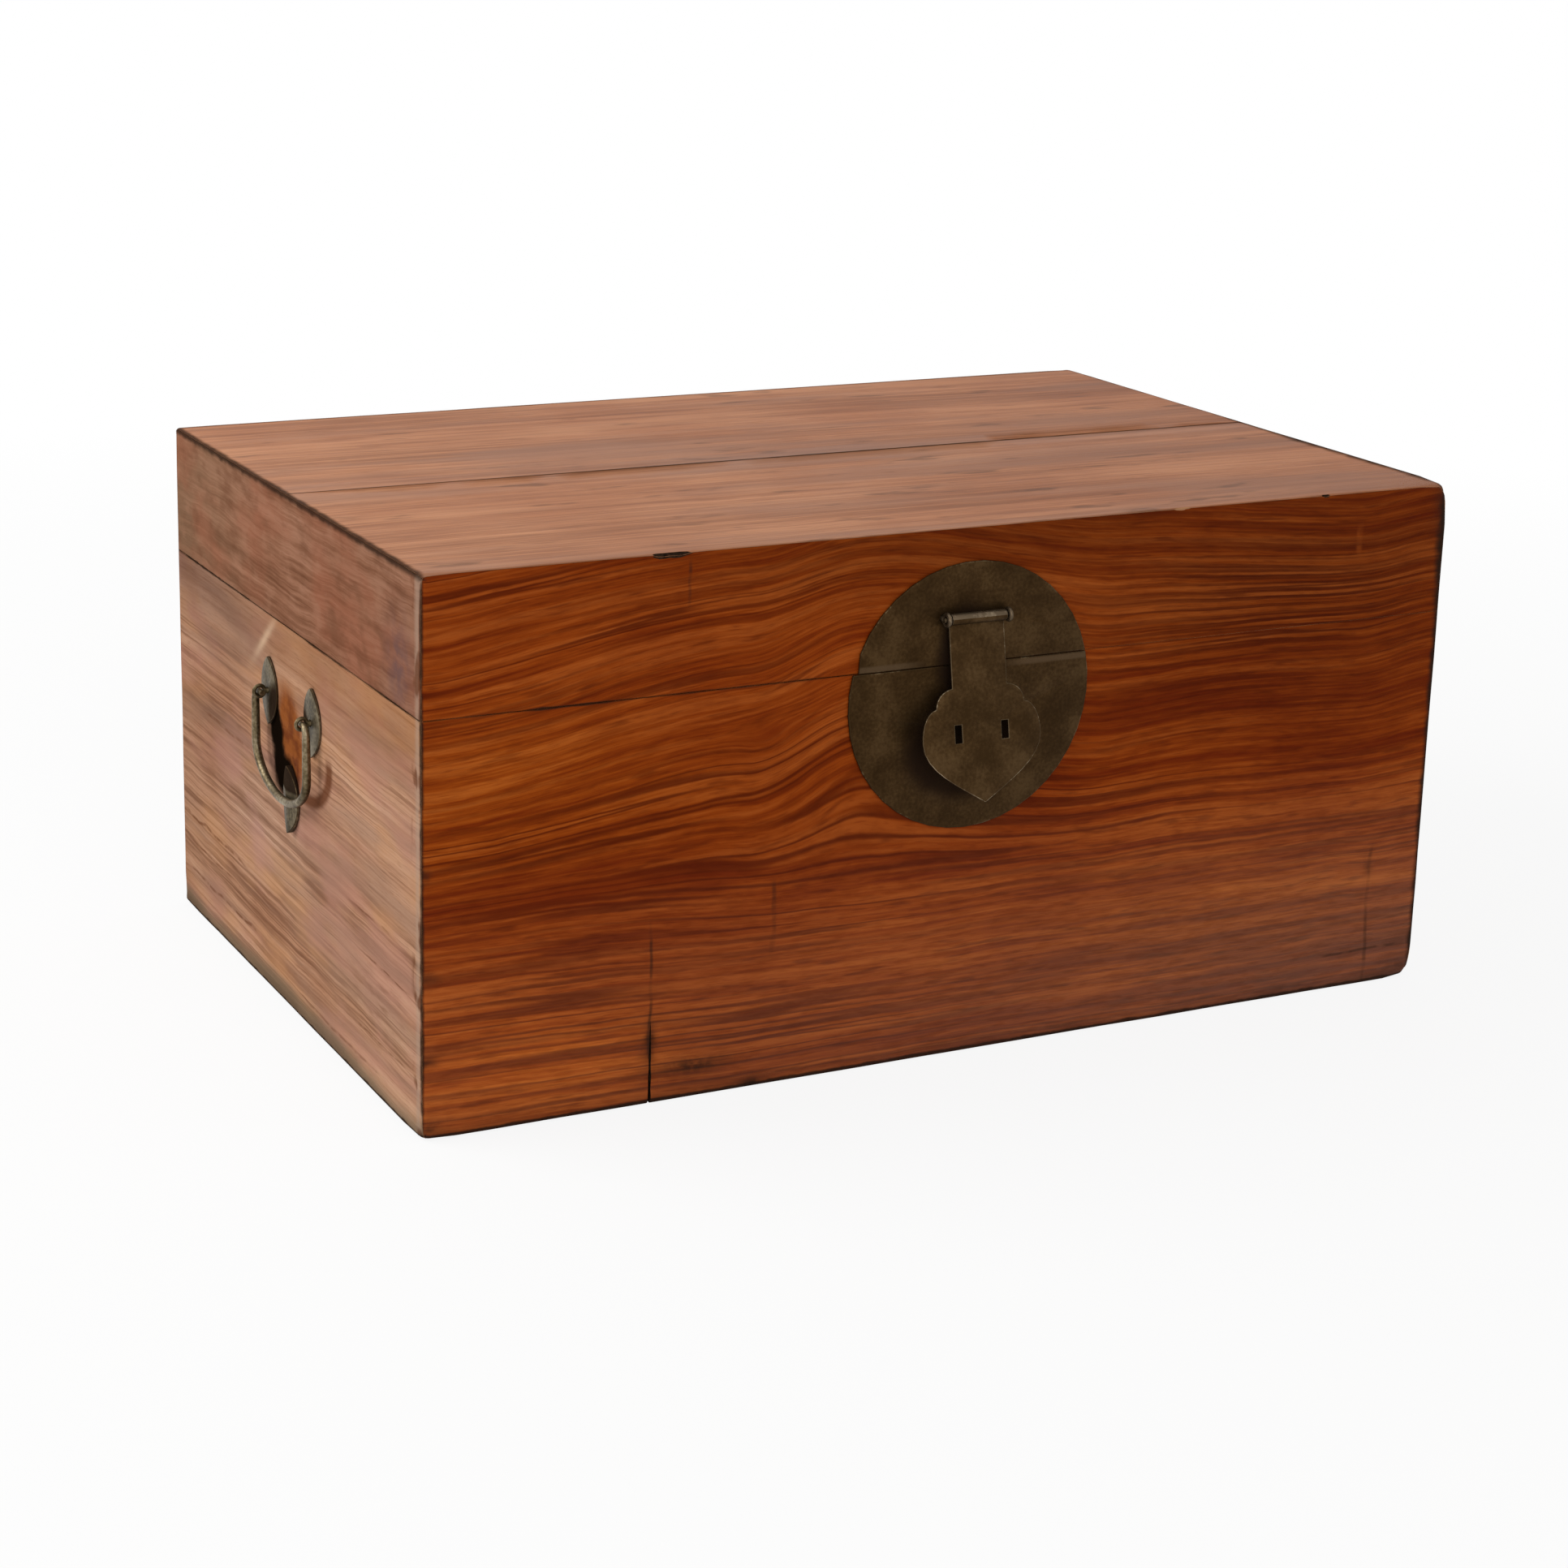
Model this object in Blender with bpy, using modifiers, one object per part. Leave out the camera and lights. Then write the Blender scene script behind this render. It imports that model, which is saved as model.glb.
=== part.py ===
"""Camphor-wood blanket chest: mitred case, hinged lid, round lock plate with a hasp, bail handles.

Metres, +Z up. The front faces -Y, and the origin lies on the floor under the middle of the base.
"""
import math

import bmesh
import bpy
from mathutils import Matrix, Vector
from mathutils.geometry import interpolate_bezier

# Overall box
WIDTH = 0.800
DEPTH = 0.520
HEIGHT = 0.380
SEAM_HEIGHT = 0.285
ARRIS_RADIUS = 0.0025
GAP = 0.0003

# Boards and their joints
WALL = 0.017
LAP = 0.006
TOP_THICKNESS = 0.015
BOTTOM_THICKNESS = 0.014
BOTTOM_BOARDS = 3
TONGUE_REACH = 0.006
TONGUE_THICKNESS = 0.005
TAIL_PITCH = 0.050
PIN_WIDTH = 0.020
TAIL_SLOPE = 1 / 7

# Lip strips inside the mouth of the case
LIP_THICKNESS = 0.007
LIP_RISE = 0.012
LIP_DROP = 0.028
LIP_RELIEF = 0.001

# Round lock plate, split at the seam
PLATE_RADIUS = 0.0945
PLATE_DROP = 0.023
PLATE_THICKNESS = 0.0016
PLATE_BEVEL = 0.0005

# Hasp: a sheet rolled round its pin and cut to a cusped outline
HASP_RISE = 0.0335
HASP_TILT = math.radians(10.5)
HASP_SHEET = 0.0018
HASP_BARREL = 0.0040
HASP_LENGTH = 0.127
NECK_HALF = 0.0215
NECK_LENGTH = 0.047
SHOULDER_HALF = 0.0345
SHOULDER_DROP = 0.0600
BELLY_HALF = 0.0465
BELLY_DROP = 0.0830
SLOT_SPACING = 0.0365
SLOT_DROP = 0.0785
SLOT_WIDTH = 0.0055
SLOT_HEIGHT = 0.0125
LOBE_FULLNESS = 0.55
LOBE_LEAN = 0.05
BELLY_FULLNESS = 0.58
FOOT_FULLNESS = 0.42
FOOT_TAPER = 0.28

# Split eyes: a ring, a shank through the wall and two legs clinched inside
EYE_WIRE = 0.0016
EYE_SHANK = 0.0022
LOCK_EYE_HOLE = 0.0022
LOCK_EYE_REACH = 0.0083
LEG_LENGTH = 0.009
LEG_THICKNESS = 0.0018
LEG_WIDTH = 0.0042

# Bail handles, one on each end
HANDLE_BELOW_SEAM = 0.055
HANDLE_FORWARD = 0.009
HANDLE_SPREAD = 0.092
BAIL_BAR = 0.0031
BAIL_PIN = 0.0020
BAIL_PIN_REACH = 0.007
BAIL_OVERHANG = 0.009
BAIL_DROP = 0.067
BAIL_PLAY = 0.0005
BAIL_BEND = 0.007
BAIL_LEG = 0.038
BAIL_LEG_FULLNESS = 0.015
BAIL_GRIP_FULLNESS = 0.030
BAIL_SHOULDER_BAR = 0.0027
BAIL_GRIP_BAR = 0.0030
HANDLE_EYE_WIRE = 0.0015

# Leaf plates behind the handle eyes, and the striker that the bail rests on
LEAF_WIDTH = 0.034
LEAF_HEIGHT = 0.050
LEAF_EDGE = 0.0010
LEAF_RIDGE = 0.0024
STRIKER_WIDTH = 0.031
STRIKER_HEIGHT = 0.050
STRIKER_EDGE = 0.0012
STRIKER_BELOW_BAR = 0.026
LEAF_TIP_SPREAD = 0.24
LEAF_TIP_DROP = 0.08
LEAF_FULLNESS = 0.25

# Back hinges
HINGE_SPACING = 0.460
HINGE_WIDTH = 0.072
HINGE_LEAF = 0.046
HINGE_SHEET = 0.0018
HINGE_BARREL = 0.0045
HINGE_CORNER = 0.008
HINGE_KNUCKLES = 3
HINGE_PIN_END = 0.0015

# Fineness of round forms
ARC_STEP = math.radians(9)
CURL_STEP = math.radians(15)
CURL_ANGLE = math.radians(285)
RING_SEGMENTS = 20
WIRE_SEGMENTS = 8
SHANK_SEGMENTS = 12
PIN_SEGMENTS = 16
LEAF_CORNER_STEP = math.radians(22.5)
BEZIER_POINTS = 9
BAIL_RESOLUTION = 8
BAIL_SIDES = 2
ARRIS_SEGMENTS = 3
SMOOTH_ANGLE = math.radians(30)

# How far cutters and rough boards pass the finished surface, and what counts as on the mirror line
TRIM = 0.002
ON_MIDLINE = 1e-9
EMPTY_SIZE = 0.03

# Worked out from the sizes above
HALF_WIDTH = WIDTH / 2
HALF_DEPTH = DEPTH / 2
LID_BOTTOM = SEAM_HEIGHT + GAP
MITRE = GAP * math.sqrt(0.5)
PLATE_FRONT = GAP + PLATE_THICKNESS
HASP_PIN = HASP_BARREL - HASP_SHEET - GAP
HASP_EYE_RING = HASP_PIN + GAP + EYE_WIRE
HASP_STANDOFF = PLATE_FRONT + GAP + HASP_EYE_RING + EYE_WIRE
HASP_Y = -HALF_DEPTH - HASP_STANDOFF
HASP_Z = SEAM_HEIGHT + HASP_RISE
HANDLE_HEIGHT = SEAM_HEIGHT - HANDLE_BELOW_SEAM
HANDLE_EYE_RING = BAIL_PIN + BAIL_PLAY + HANDLE_EYE_WIRE
HANDLE_STANDOFF = GAP + LEAF_RIDGE + GAP + HANDLE_EYE_RING + HANDLE_EYE_WIRE
STRIKER_RIDGE = HANDLE_STANDOFF - BAIL_BAR - 2 * GAP
HINGE_Y = HALF_DEPTH + GAP + HINGE_BARREL
HINGE_Z = SEAM_HEIGHT + GAP / 2
HINGE_PIN = HINGE_BARREL - HINGE_SHEET - GAP

# Finish of each group of pieces: colour, roughness, metallic
FINISHES = {
    "lacquered_camphor": ((0.24, 0.075, 0.024, 1), 0.38, 0.0),
    "worn_camphor": ((0.36, 0.17, 0.095, 1), 0.45, 0.0),
    "bare_camphor": ((0.42, 0.24, 0.12, 1), 0.70, 0.0),
    "dark_bronze": ((0.075, 0.052, 0.026, 1), 0.48, 0.85),
    "bright_bronze": ((0.22, 0.18, 0.12, 1), 0.35, 0.90),
    "green_bronze": ((0.085, 0.078, 0.052, 1), 0.42, 0.85),
}


def clear_scene():
    for obj in list(bpy.data.objects):
        bpy.data.objects.remove(obj, do_unlink=True)


def new_collection(name):
    collection = bpy.data.collections.new(name)
    bpy.context.scene.collection.children.link(collection)
    return collection


clear_scene()
PARTS = new_collection("camphor_chest")
CUTTERS = new_collection("cutters")


def carry(obj, parent):
    """Hang an object on an empty and leave it where it stands."""
    bpy.context.view_layer.update()
    obj.parent = parent
    obj.matrix_parent_inverse = parent.matrix_world.inverted()


def axis_empty(name, location, parent=None):
    """Empty on a joint's axis, which carries the pieces that turn with it."""
    empty = bpy.data.objects.new(name, None)
    empty.location = location
    empty.empty_display_size = EMPTY_SIZE
    PARTS.objects.link(empty)
    if parent:
        carry(empty, parent)
    return empty


def finish_part(obj, finish, parent):
    """Give a piece its material, smooth shading on round faces and the empty that carries it."""
    colour, roughness, metallic = FINISHES[finish]
    material = bpy.data.materials.new(obj.name + "_" + finish)
    material.use_nodes = True
    shader = material.node_tree.nodes["Principled BSDF"]
    shader.inputs["Base Color"].default_value = colour
    shader.inputs["Roughness"].default_value = roughness
    shader.inputs["Metallic"].default_value = metallic
    material.diffuse_color = colour
    obj.data.materials.append(material)
    if obj.type == "MESH":
        obj.data.shade_smooth()
        obj.data.set_sharp_from_angle(angle=SMOOTH_ANGLE)
    carry(obj, parent)
    return obj


def mark_cutter(obj):
    obj.hide_render = True
    obj.display_type = "WIRE"
    return obj


def object_from_bmesh(name, bm, collection):
    bmesh.ops.recalc_face_normals(bm, faces=bm.faces)
    mesh = bpy.data.meshes.new(name)
    bm.to_mesh(mesh)
    bm.free()
    obj = bpy.data.objects.new(name, mesh)
    collection.objects.link(obj)
    if collection is CUTTERS:
        mark_cutter(obj)
    return obj


def add_prism(bm, outline, along, low, high):
    """Extrude a flat outline along an axis; its points hold the other two axes in XYZ order."""
    axis = "XYZ".index(along)
    corners = []
    for point in outline:
        corner = list(point)
        corner.insert(axis, low)
        corners.append(bm.verts.new(corner))
    face = bm.faces.new(corners)
    swept = bmesh.ops.extrude_face_region(bm, geom=[face])
    moved = [item for item in swept["geom"] if isinstance(item, bmesh.types.BMVert)]
    step = Vector((0, 0, 0))
    step[axis] = high - low
    bmesh.ops.translate(bm, verts=moved, vec=step)


def prisms(name, outlines, along, spans, collection):
    """One object of several prisms; a single span serves them all."""
    bm = bmesh.new()
    for index, outline in enumerate(outlines):
        low, high = spans[index % len(spans)]
        add_prism(bm, outline, along, low, high)
    return object_from_bmesh(name, bm, collection)


def prism(name, outline, along, low, high, collection):
    return prisms(name, [outline], along, [(low, high)], collection)


def box(name, low, high, collection):
    """Box between two corners."""
    bm = bmesh.new()
    bmesh.ops.create_cube(bm, size=1)
    low = Vector(low)
    high = Vector(high)
    bmesh.ops.scale(bm, vec=high - low, verts=bm.verts)
    bmesh.ops.translate(bm, vec=(low + high) / 2, verts=bm.verts)
    return object_from_bmesh(name, bm, collection)


def cylinder(name, start, end, radius, segments, collection):
    """Round bar between two points."""
    start = Vector(start)
    end = Vector(end)
    run = end - start
    turn = run.to_track_quat("Z", "Y").to_matrix().to_4x4()
    bm = bmesh.new()
    bmesh.ops.create_cone(
        bm, cap_ends=True, segments=segments, radius1=radius, radius2=radius, depth=run.length,
        matrix=Matrix.Translation((start + end) / 2) @ turn)
    return object_from_bmesh(name, bm, collection)


def boolean(obj, other, operation):
    modifier = obj.modifiers.new(other.name, "BOOLEAN")
    modifier.operation = operation
    modifier.object = other
    modifier.solver = "EXACT"
    return obj


def cut(obj, *others):
    for other in others:
        boolean(obj, other, "DIFFERENCE")
    return obj


def arc(centre, radius, start, end, step=ARC_STEP):
    """Points on a circle from one angle to another, both included."""
    count = max(2, math.ceil(abs(end - start) / step))
    points = []
    for index in range(count + 1):
        angle = start + (end - start) * index / count
        points.append((centre[0] + radius * math.cos(angle), centre[1] + radius * math.sin(angle)))
    return points


def mirrored(half):
    """Close a half outline, drawn on the positive side, with its mirror image."""
    other = [(-point[0], point[1]) for point in reversed(half) if abs(point[0]) > ON_MIDLINE]
    return half + other


# Boards of the case and the lid


def board_outline(half_length):
    """Plan of a wall: length along u, depth v inward from the face, both ends mitred at the lap."""
    half = [
        (half_length + TRIM - MITRE, -TRIM),
        (half_length - LAP - GAP, LAP + GAP - MITRE),
        (half_length - LAP - GAP, WALL),
    ]
    return mirrored(half)


def tail_levels(low, high):
    """Middle height and root half width of each dovetail between two heights."""
    count = max(1, round((high - low) / TAIL_PITCH))
    pitch = (high - low) / count
    half = (pitch - PIN_WIDTH) / 2
    return [(low + (index + 0.5) * pitch, half) for index in range(count)]


def tail_spread(half, from_root):
    return half + TAIL_SLOPE * from_root


def tail_outlines(tails, clearance):
    """Dovetails seen on the long board's inner face, as points of depth into the end wall and height."""
    outer = WALL - LAP
    inner = -TRIM
    outlines = []
    for middle, half in tails:
        wide = tail_spread(half, outer) + clearance
        narrow = tail_spread(half, inner) + clearance
        outlines.append([
            (LAP, middle - wide), (LAP, middle + wide),
            (WALL - inner, middle + narrow), (WALL - inner, middle - narrow)])
    return outlines


def pin_outlines(tails, low, high):
    """Sockets between the dovetails, open past the board's top and bottom edges."""
    outer = WALL - LAP + TRIM
    inner = -GAP
    edges = [(low - TRIM, low - TRIM)]
    for middle, half in tails:
        wide = tail_spread(half, outer)
        narrow = tail_spread(half, inner)
        edges.append((middle - wide, middle - narrow))
        edges.append((middle + wide, middle + narrow))
    edges.append((high + TRIM, high + TRIM))
    outlines = []
    for lower, upper in zip(edges[0::2], edges[1::2]):
        outlines.append([
            (LAP - TRIM, lower[0]), (LAP - TRIM, upper[0]),
            (WALL - inner, upper[1]), (WALL - inner, lower[1])])
    return outlines


def dovetail_cutters(name, outlines, from_lap, past_wall):
    """Cutters for both ends of both boards of a pair: depth becomes X on each side, swept along Y."""
    flat = []
    for side in (-1, 1):
        for outline in outlines:
            flat.append([(side * (HALF_WIDTH - depth), height) for depth, height in outline])
    spans = [
        (HALF_DEPTH - past_wall, HALF_DEPTH - from_lap),
        (from_lap - HALF_DEPTH, past_wall - HALF_DEPTH)]
    both = [outline for outline in flat for _ in spans]
    return prisms(name, both, "Y", spans, CUTTERS)


def wall_top_profile(half):
    """Waste above a lid wall: the mitred lap and the flat under the top boards, as (across, height)."""
    inside = LAP + GAP - MITRE
    shelf = HEIGHT - LAP - GAP
    return [
        (half + 2 * TRIM, HEIGHT + 2 * TRIM - MITRE), (half - inside, shelf), (half - WALL - TRIM, shelf),
        (half - WALL - TRIM, HEIGHT + 3 * TRIM), (half + 2 * TRIM, HEIGHT + 3 * TRIM)]


def flipped(outline, side):
    return [(side * point[0], point[1]) for point in outline]


def envelope():
    """Outer form of the closed chest with its worn arrises; every outer board is trimmed to it."""
    low = (-HALF_WIDTH, -HALF_DEPTH, 0)
    high = (HALF_WIDTH, HALF_DEPTH, HEIGHT)
    form = box("outer_form", low, high, CUTTERS)
    bevel = form.modifiers.new("worn_arrises", "BEVEL")
    bevel.width = ARRIS_RADIUS
    bevel.segments = ARRIS_SEGMENTS
    return form


def make_walls(prefix, kinds, low, high, tail_low, tail_high, form, parent, extra_cuts):
    """Four mitred walls with hidden dovetails: tails on front and back, pins on the ends."""
    front, back, left, right = kinds
    tails = tail_levels(tail_low, tail_high)
    pins = pin_outlines(tails, tail_low, tail_high)
    sockets = dovetail_cutters(prefix + "_pin_sockets", pins, LAP, WALL + TRIM)
    mortises = dovetail_cutters(prefix + "_tail_sockets", tail_outlines(tails, GAP), LAP, WALL + GAP)
    walls = {}
    for name, side in ((front, -1), (back, 1)):
        outline = [(u, side * (HALF_DEPTH - v)) for u, v in board_outline(HALF_WIDTH)]
        wall = prism(prefix + "_" + name, outline, "Z", low, high, PARTS)
        walls[name] = cut(wall, sockets)
    for name, side in ((left, -1), (right, 1)):
        outline = [(side * (HALF_WIDTH - v), u) for u, v in board_outline(HALF_DEPTH)]
        wall = prism(prefix + "_" + name, outline, "Z", low, high, PARTS)
        walls[name] = cut(wall, mortises)
    for name, wall in walls.items():
        cut(wall, *extra_cuts.get(name, []))
        boolean(wall, form, "INTERSECT")
        worn = name in (left, right)
        finish_part(wall, "worn_camphor" if worn else "lacquered_camphor", parent)
    return walls


def make_case_walls(form, parent):
    rabbet = box(
        "bottom_rabbet", (LAP - HALF_WIDTH, LAP - HALF_DEPTH, -TRIM),
        (HALF_WIDTH - LAP, HALF_DEPTH - LAP, BOTTOM_THICKNESS + GAP), CUTTERS)
    names = ("front_board", "back_board", "left_end", "right_end")
    cuts = {name: [rabbet] for name in names}
    return make_walls("case", names, -TRIM, SEAM_HEIGHT, BOTTOM_THICKNESS, SEAM_HEIGHT, form, parent, cuts)


def make_lid_walls(form, parent):
    names = ("front_wall", "back_wall", "left_wall", "right_wall")
    cuts = {}
    for name, side, half, along, run in (
            ("front_wall", -1, HALF_DEPTH, "X", HALF_WIDTH), ("back_wall", 1, HALF_DEPTH, "X", HALF_WIDTH),
            ("left_wall", -1, HALF_WIDTH, "Y", HALF_DEPTH), ("right_wall", 1, HALF_WIDTH, "Y", HALF_DEPTH)):
        profile = flipped(wall_top_profile(half), side)
        reach = run + 2 * TRIM
        cuts[name] = [prism("lid_" + name + "_top_waste", profile, along, -reach, reach, CUTTERS)]
    top = HEIGHT + TRIM
    return make_walls("lid", names, LID_BOTTOM, top, LID_BOTTOM, HEIGHT - LAP, form, parent, cuts)


def tongue_points(edge, bottom, thickness, direction):
    """Tongue on a board's edge, from its lower to its upper corner."""
    middle = bottom + thickness / 2
    reach = edge + direction * TONGUE_REACH
    half = TONGUE_THICKNESS / 2
    return [(edge, middle - half), (reach, middle - half), (reach, middle + half), (edge, middle + half)]


def groove_points(edge, bottom, thickness, direction):
    """Groove that takes the tongue, from its upper to its lower corner."""
    middle = bottom + thickness / 2
    reach = edge + direction * (TONGUE_REACH + GAP)
    half = TONGUE_THICKNESS / 2 + GAP
    return [(edge, middle + half), (reach, middle + half), (reach, middle - half), (edge, middle - half)]


def top_edge_profile(half):
    """Outer edge of the lid top: mitred lap over the wall and a shoulder inside it, as (across, height)."""
    return [
        (half + TRIM - MITRE, HEIGHT + TRIM), (half - LAP - MITRE, HEIGHT - LAP),
        (half - WALL - GAP, HEIGHT - LAP), (half - WALL - GAP, HEIGHT - TOP_THICKNESS)]


def make_lid_top(form, parent):
    """Two boards, tongued together at mid depth, lapped over the lid walls on a mitre."""
    bottom = HEIGHT - TOP_THICKNESS
    rough_top = HEIGHT + TRIM
    front = flipped(top_edge_profile(HALF_DEPTH), -1)
    front += [(0, bottom)] + tongue_points(0, bottom, TOP_THICKNESS, 1) + [(0, rough_top)]
    back = top_edge_profile(HALF_DEPTH)
    back += [(GAP, bottom)] + groove_points(GAP, bottom, TOP_THICKNESS, 1)[::-1] + [(GAP, rough_top)]
    ends = []
    for side in (-1, 1):
        edge = [(HALF_WIDTH + 2 * TRIM, HEIGHT + 2 * TRIM + MITRE)]
        edge += [(HALF_WIDTH - LAP - MITRE, HEIGHT - LAP), (HALF_WIDTH - WALL - GAP, HEIGHT - LAP)]
        edge += [(HALF_WIDTH - WALL - GAP, bottom - TRIM), (HALF_WIDTH + 2 * TRIM, bottom - TRIM)]
        ends.append(flipped(edge, side))
    reach = HALF_DEPTH + 2 * TRIM
    waste = prisms("lid_top_end_waste", ends, "Y", [(-reach, reach)], CUTTERS)
    for name, profile in (("lid_top_front_board", front), ("lid_top_back_board", back)):
        board = prism(name, profile, "X", -HALF_WIDTH - TRIM, HALF_WIDTH + TRIM, PARTS)
        cut(board, waste)
        boolean(board, form, "INTERSECT")
        finish_part(board, "worn_camphor", parent)


def make_bottom(parent):
    """Floor of tongued boards, let into the rabbet round the foot of the walls."""
    half_x = HALF_WIDTH - LAP - GAP
    half_y = HALF_DEPTH - LAP - GAP
    board_depth = 2 * half_y / BOTTOM_BOARDS
    for index in range(BOTTOM_BOARDS):
        near = -half_y + index * board_depth + (GAP if index else 0)
        far = -half_y + (index + 1) * board_depth
        profile = [(near, 0), (far, 0)]
        if index < BOTTOM_BOARDS - 1:
            profile += tongue_points(far, 0, BOTTOM_THICKNESS, 1)
        profile += [(far, BOTTOM_THICKNESS), (near, BOTTOM_THICKNESS)]
        if index:
            profile += groove_points(near, 0, BOTTOM_THICKNESS, 1)
        board = prism("bottom_board_%d" % (index + 1), profile, "X", -half_x, half_x, PARTS)
        finish_part(board, "bare_camphor", parent)


def make_lip(parent):
    """Strips glued round the inside of the case mouth; the lid walls close over them."""
    outer = WALL + GAP
    inner = outer + LIP_THICKNESS
    low = SEAM_HEIGHT - LIP_DROP
    high = SEAM_HEIGHT + LIP_RISE
    profile = [(outer, low), (outer, SEAM_HEIGHT - LIP_RELIEF), (outer + LIP_RELIEF, SEAM_HEIGHT)]
    profile += [(outer + LIP_RELIEF, high), (inner, high), (inner, low)]
    long_reach = HALF_WIDTH - outer
    short_reach = HALF_DEPTH - inner - GAP
    for name, side, half, along, reach in (
            ("lip_front", -1, HALF_DEPTH, "X", long_reach), ("lip_back", 1, HALF_DEPTH, "X", long_reach),
            ("lip_left", -1, HALF_WIDTH, "Y", short_reach), ("lip_right", 1, HALF_WIDTH, "Y", short_reach)):
        outline = [(side * (half - depth), height) for depth, height in profile]
        clear = LIP_RELIEF if along == "X" else 0
        strip = prism(name, outline, along, clear - reach, reach - clear, PARTS)
        finish_part(strip, "bare_camphor", parent)


# Metal fittings


def eye_post(name, ring_centre, ring_axis, inward, ring_radius, wire, inner_face, leg_axis, finish, parent):
    """Split eye: a ring outside the wall, a shank through it and two legs clinched on the inner face."""
    ring_centre = Vector(ring_centre)
    inward = Vector(inward)
    turn = Vector(ring_axis).to_track_quat("Z", "Y").to_euler()
    bpy.ops.mesh.primitive_torus_add(
        major_radius=ring_radius, minor_radius=wire, major_segments=RING_SEGMENTS,
        minor_segments=WIRE_SEGMENTS, location=ring_centre, rotation=turn)
    ring = bpy.context.object
    ring.name = name
    ring.data.name = name
    for owner in list(ring.users_collection):
        owner.objects.unlink(ring)
    PARTS.objects.link(ring)
    start = ring_centre + inward * ring_radius
    depth = inner_face + GAP + LEG_THICKNESS / 2
    end = start + inward * (depth - start.dot(inward))
    shank = cylinder(name + "_shank", start, end, EYE_SHANK, SHANK_SEGMENTS, CUTTERS)
    along = Vector(leg_axis)
    across = inward.cross(along)
    half = along * LEG_LENGTH + across * (LEG_WIDTH / 2) + inward * (LEG_THICKNESS / 2)
    half = Vector([abs(value) for value in half])
    legs = box(name + "_legs", end - half, end + half, CUTTERS)
    boolean(ring, shank, "UNION")
    boolean(ring, legs, "UNION")
    return finish_part(ring, finish, parent)


def shank_hole(name, point, inward, length):
    """Clearance hole for an eye's shank, from outside the fitting to inside the wall."""
    point = Vector(point)
    inward = Vector(inward)
    return cylinder(name, point, point + inward * length, EYE_SHANK + GAP, SHANK_SEGMENTS, CUTTERS)


def plate_segment(name, lower, finish, parent):
    """One part of the round lock plate, cut off straight at the lid seam."""
    centre = (0, SEAM_HEIGHT - PLATE_DROP)
    chord = SEAM_HEIGHT if lower else LID_BOTTOM
    angle = math.asin((chord - centre[1]) / PLATE_RADIUS)
    if lower:
        outline = arc(centre, PLATE_RADIUS, math.pi - angle, 2 * math.pi + angle)
    else:
        outline = arc(centre, PLATE_RADIUS, angle, math.pi - angle)
    plate = prism(name, outline, "Y", -HALF_DEPTH - PLATE_FRONT, -HALF_DEPTH - GAP, PARTS)
    bevel = plate.modifiers.new("dressed_edge", "BEVEL")
    bevel.width = PLATE_BEVEL
    bevel.segments = 1
    bevel.limit_method = "ANGLE"
    bevel.angle_limit = SMOOTH_ANGLE
    return finish_part(plate, finish, parent)


def make_lock(case_front, lid_front, case_axis, lid_axis):
    """Round plate, the eyes that carry the hasp's pin, and the eyes that take the lock bar."""
    upper = plate_segment("lock_plate_upper", False, "dark_bronze", lid_axis)
    lower = plate_segment("lock_plate_lower", True, "dark_bronze", case_axis)
    inward = (0, 1, 0)
    hole_length = PLATE_FRONT + WALL + 2 * TRIM
    hole_start = -HALF_DEPTH - PLATE_FRONT - TRIM
    eye_x = NECK_HALF + GAP + EYE_SHANK
    lock_z = HASP_Z - SLOT_DROP
    for word, side in (("left", -1), ("right", 1)):
        name = "hasp_eye_" + word
        hole = shank_hole(name + "_hole", (side * eye_x, hole_start, HASP_Z), inward, hole_length)
        cut(upper, hole)
        cut(lid_front, hole)
        eye_post(
            name, (side * eye_x, HASP_Y, HASP_Z), (1, 0, 0), inward, HASP_EYE_RING, EYE_WIRE,
            WALL - HALF_DEPTH, (1, 0, 0), "bright_bronze", lid_axis)
    for word, side in (("left", -1), ("right", 1)):
        name = "lock_eye_" + word
        lock_x = side * SLOT_SPACING / 2
        hole = shank_hole(name + "_hole", (lock_x, hole_start, lock_z), inward, hole_length)
        cut(lower, hole)
        cut(case_front, hole)
        eye_post(
            name, (lock_x, -HALF_DEPTH - LOCK_EYE_REACH, lock_z), (1, 0, 0), inward,
            LOCK_EYE_HOLE + EYE_WIRE, EYE_WIRE, WALL - HALF_DEPTH, (1, 0, 0), "dark_bronze", case_axis)
    pin_half = eye_x + EYE_SHANK + GAP
    pin = cylinder(
        "hasp_pin", (-pin_half, HASP_Y, HASP_Z), (pin_half, HASP_Y, HASP_Z), HASP_PIN, PIN_SEGMENTS, PARTS)
    finish_part(pin, "bright_bronze", lid_axis)


def curl_profile(barrel, sheet, length, wall_side, hang_side):
    """Side view of a sheet rolled round the pin: flat on the wall side, running down (-1) or up (1)."""
    points = [(barrel, -length), (barrel, 0)]
    points += arc((0, 0), barrel, CURL_STEP, CURL_ANGLE, CURL_STEP)
    points += arc((0, 0), barrel - sheet, CURL_ANGLE, CURL_STEP, CURL_STEP)
    points += [(barrel - sheet, 0), (barrel - sheet, -length)]
    return [(wall_side * across, -hang_side * height) for across, height in points]


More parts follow.
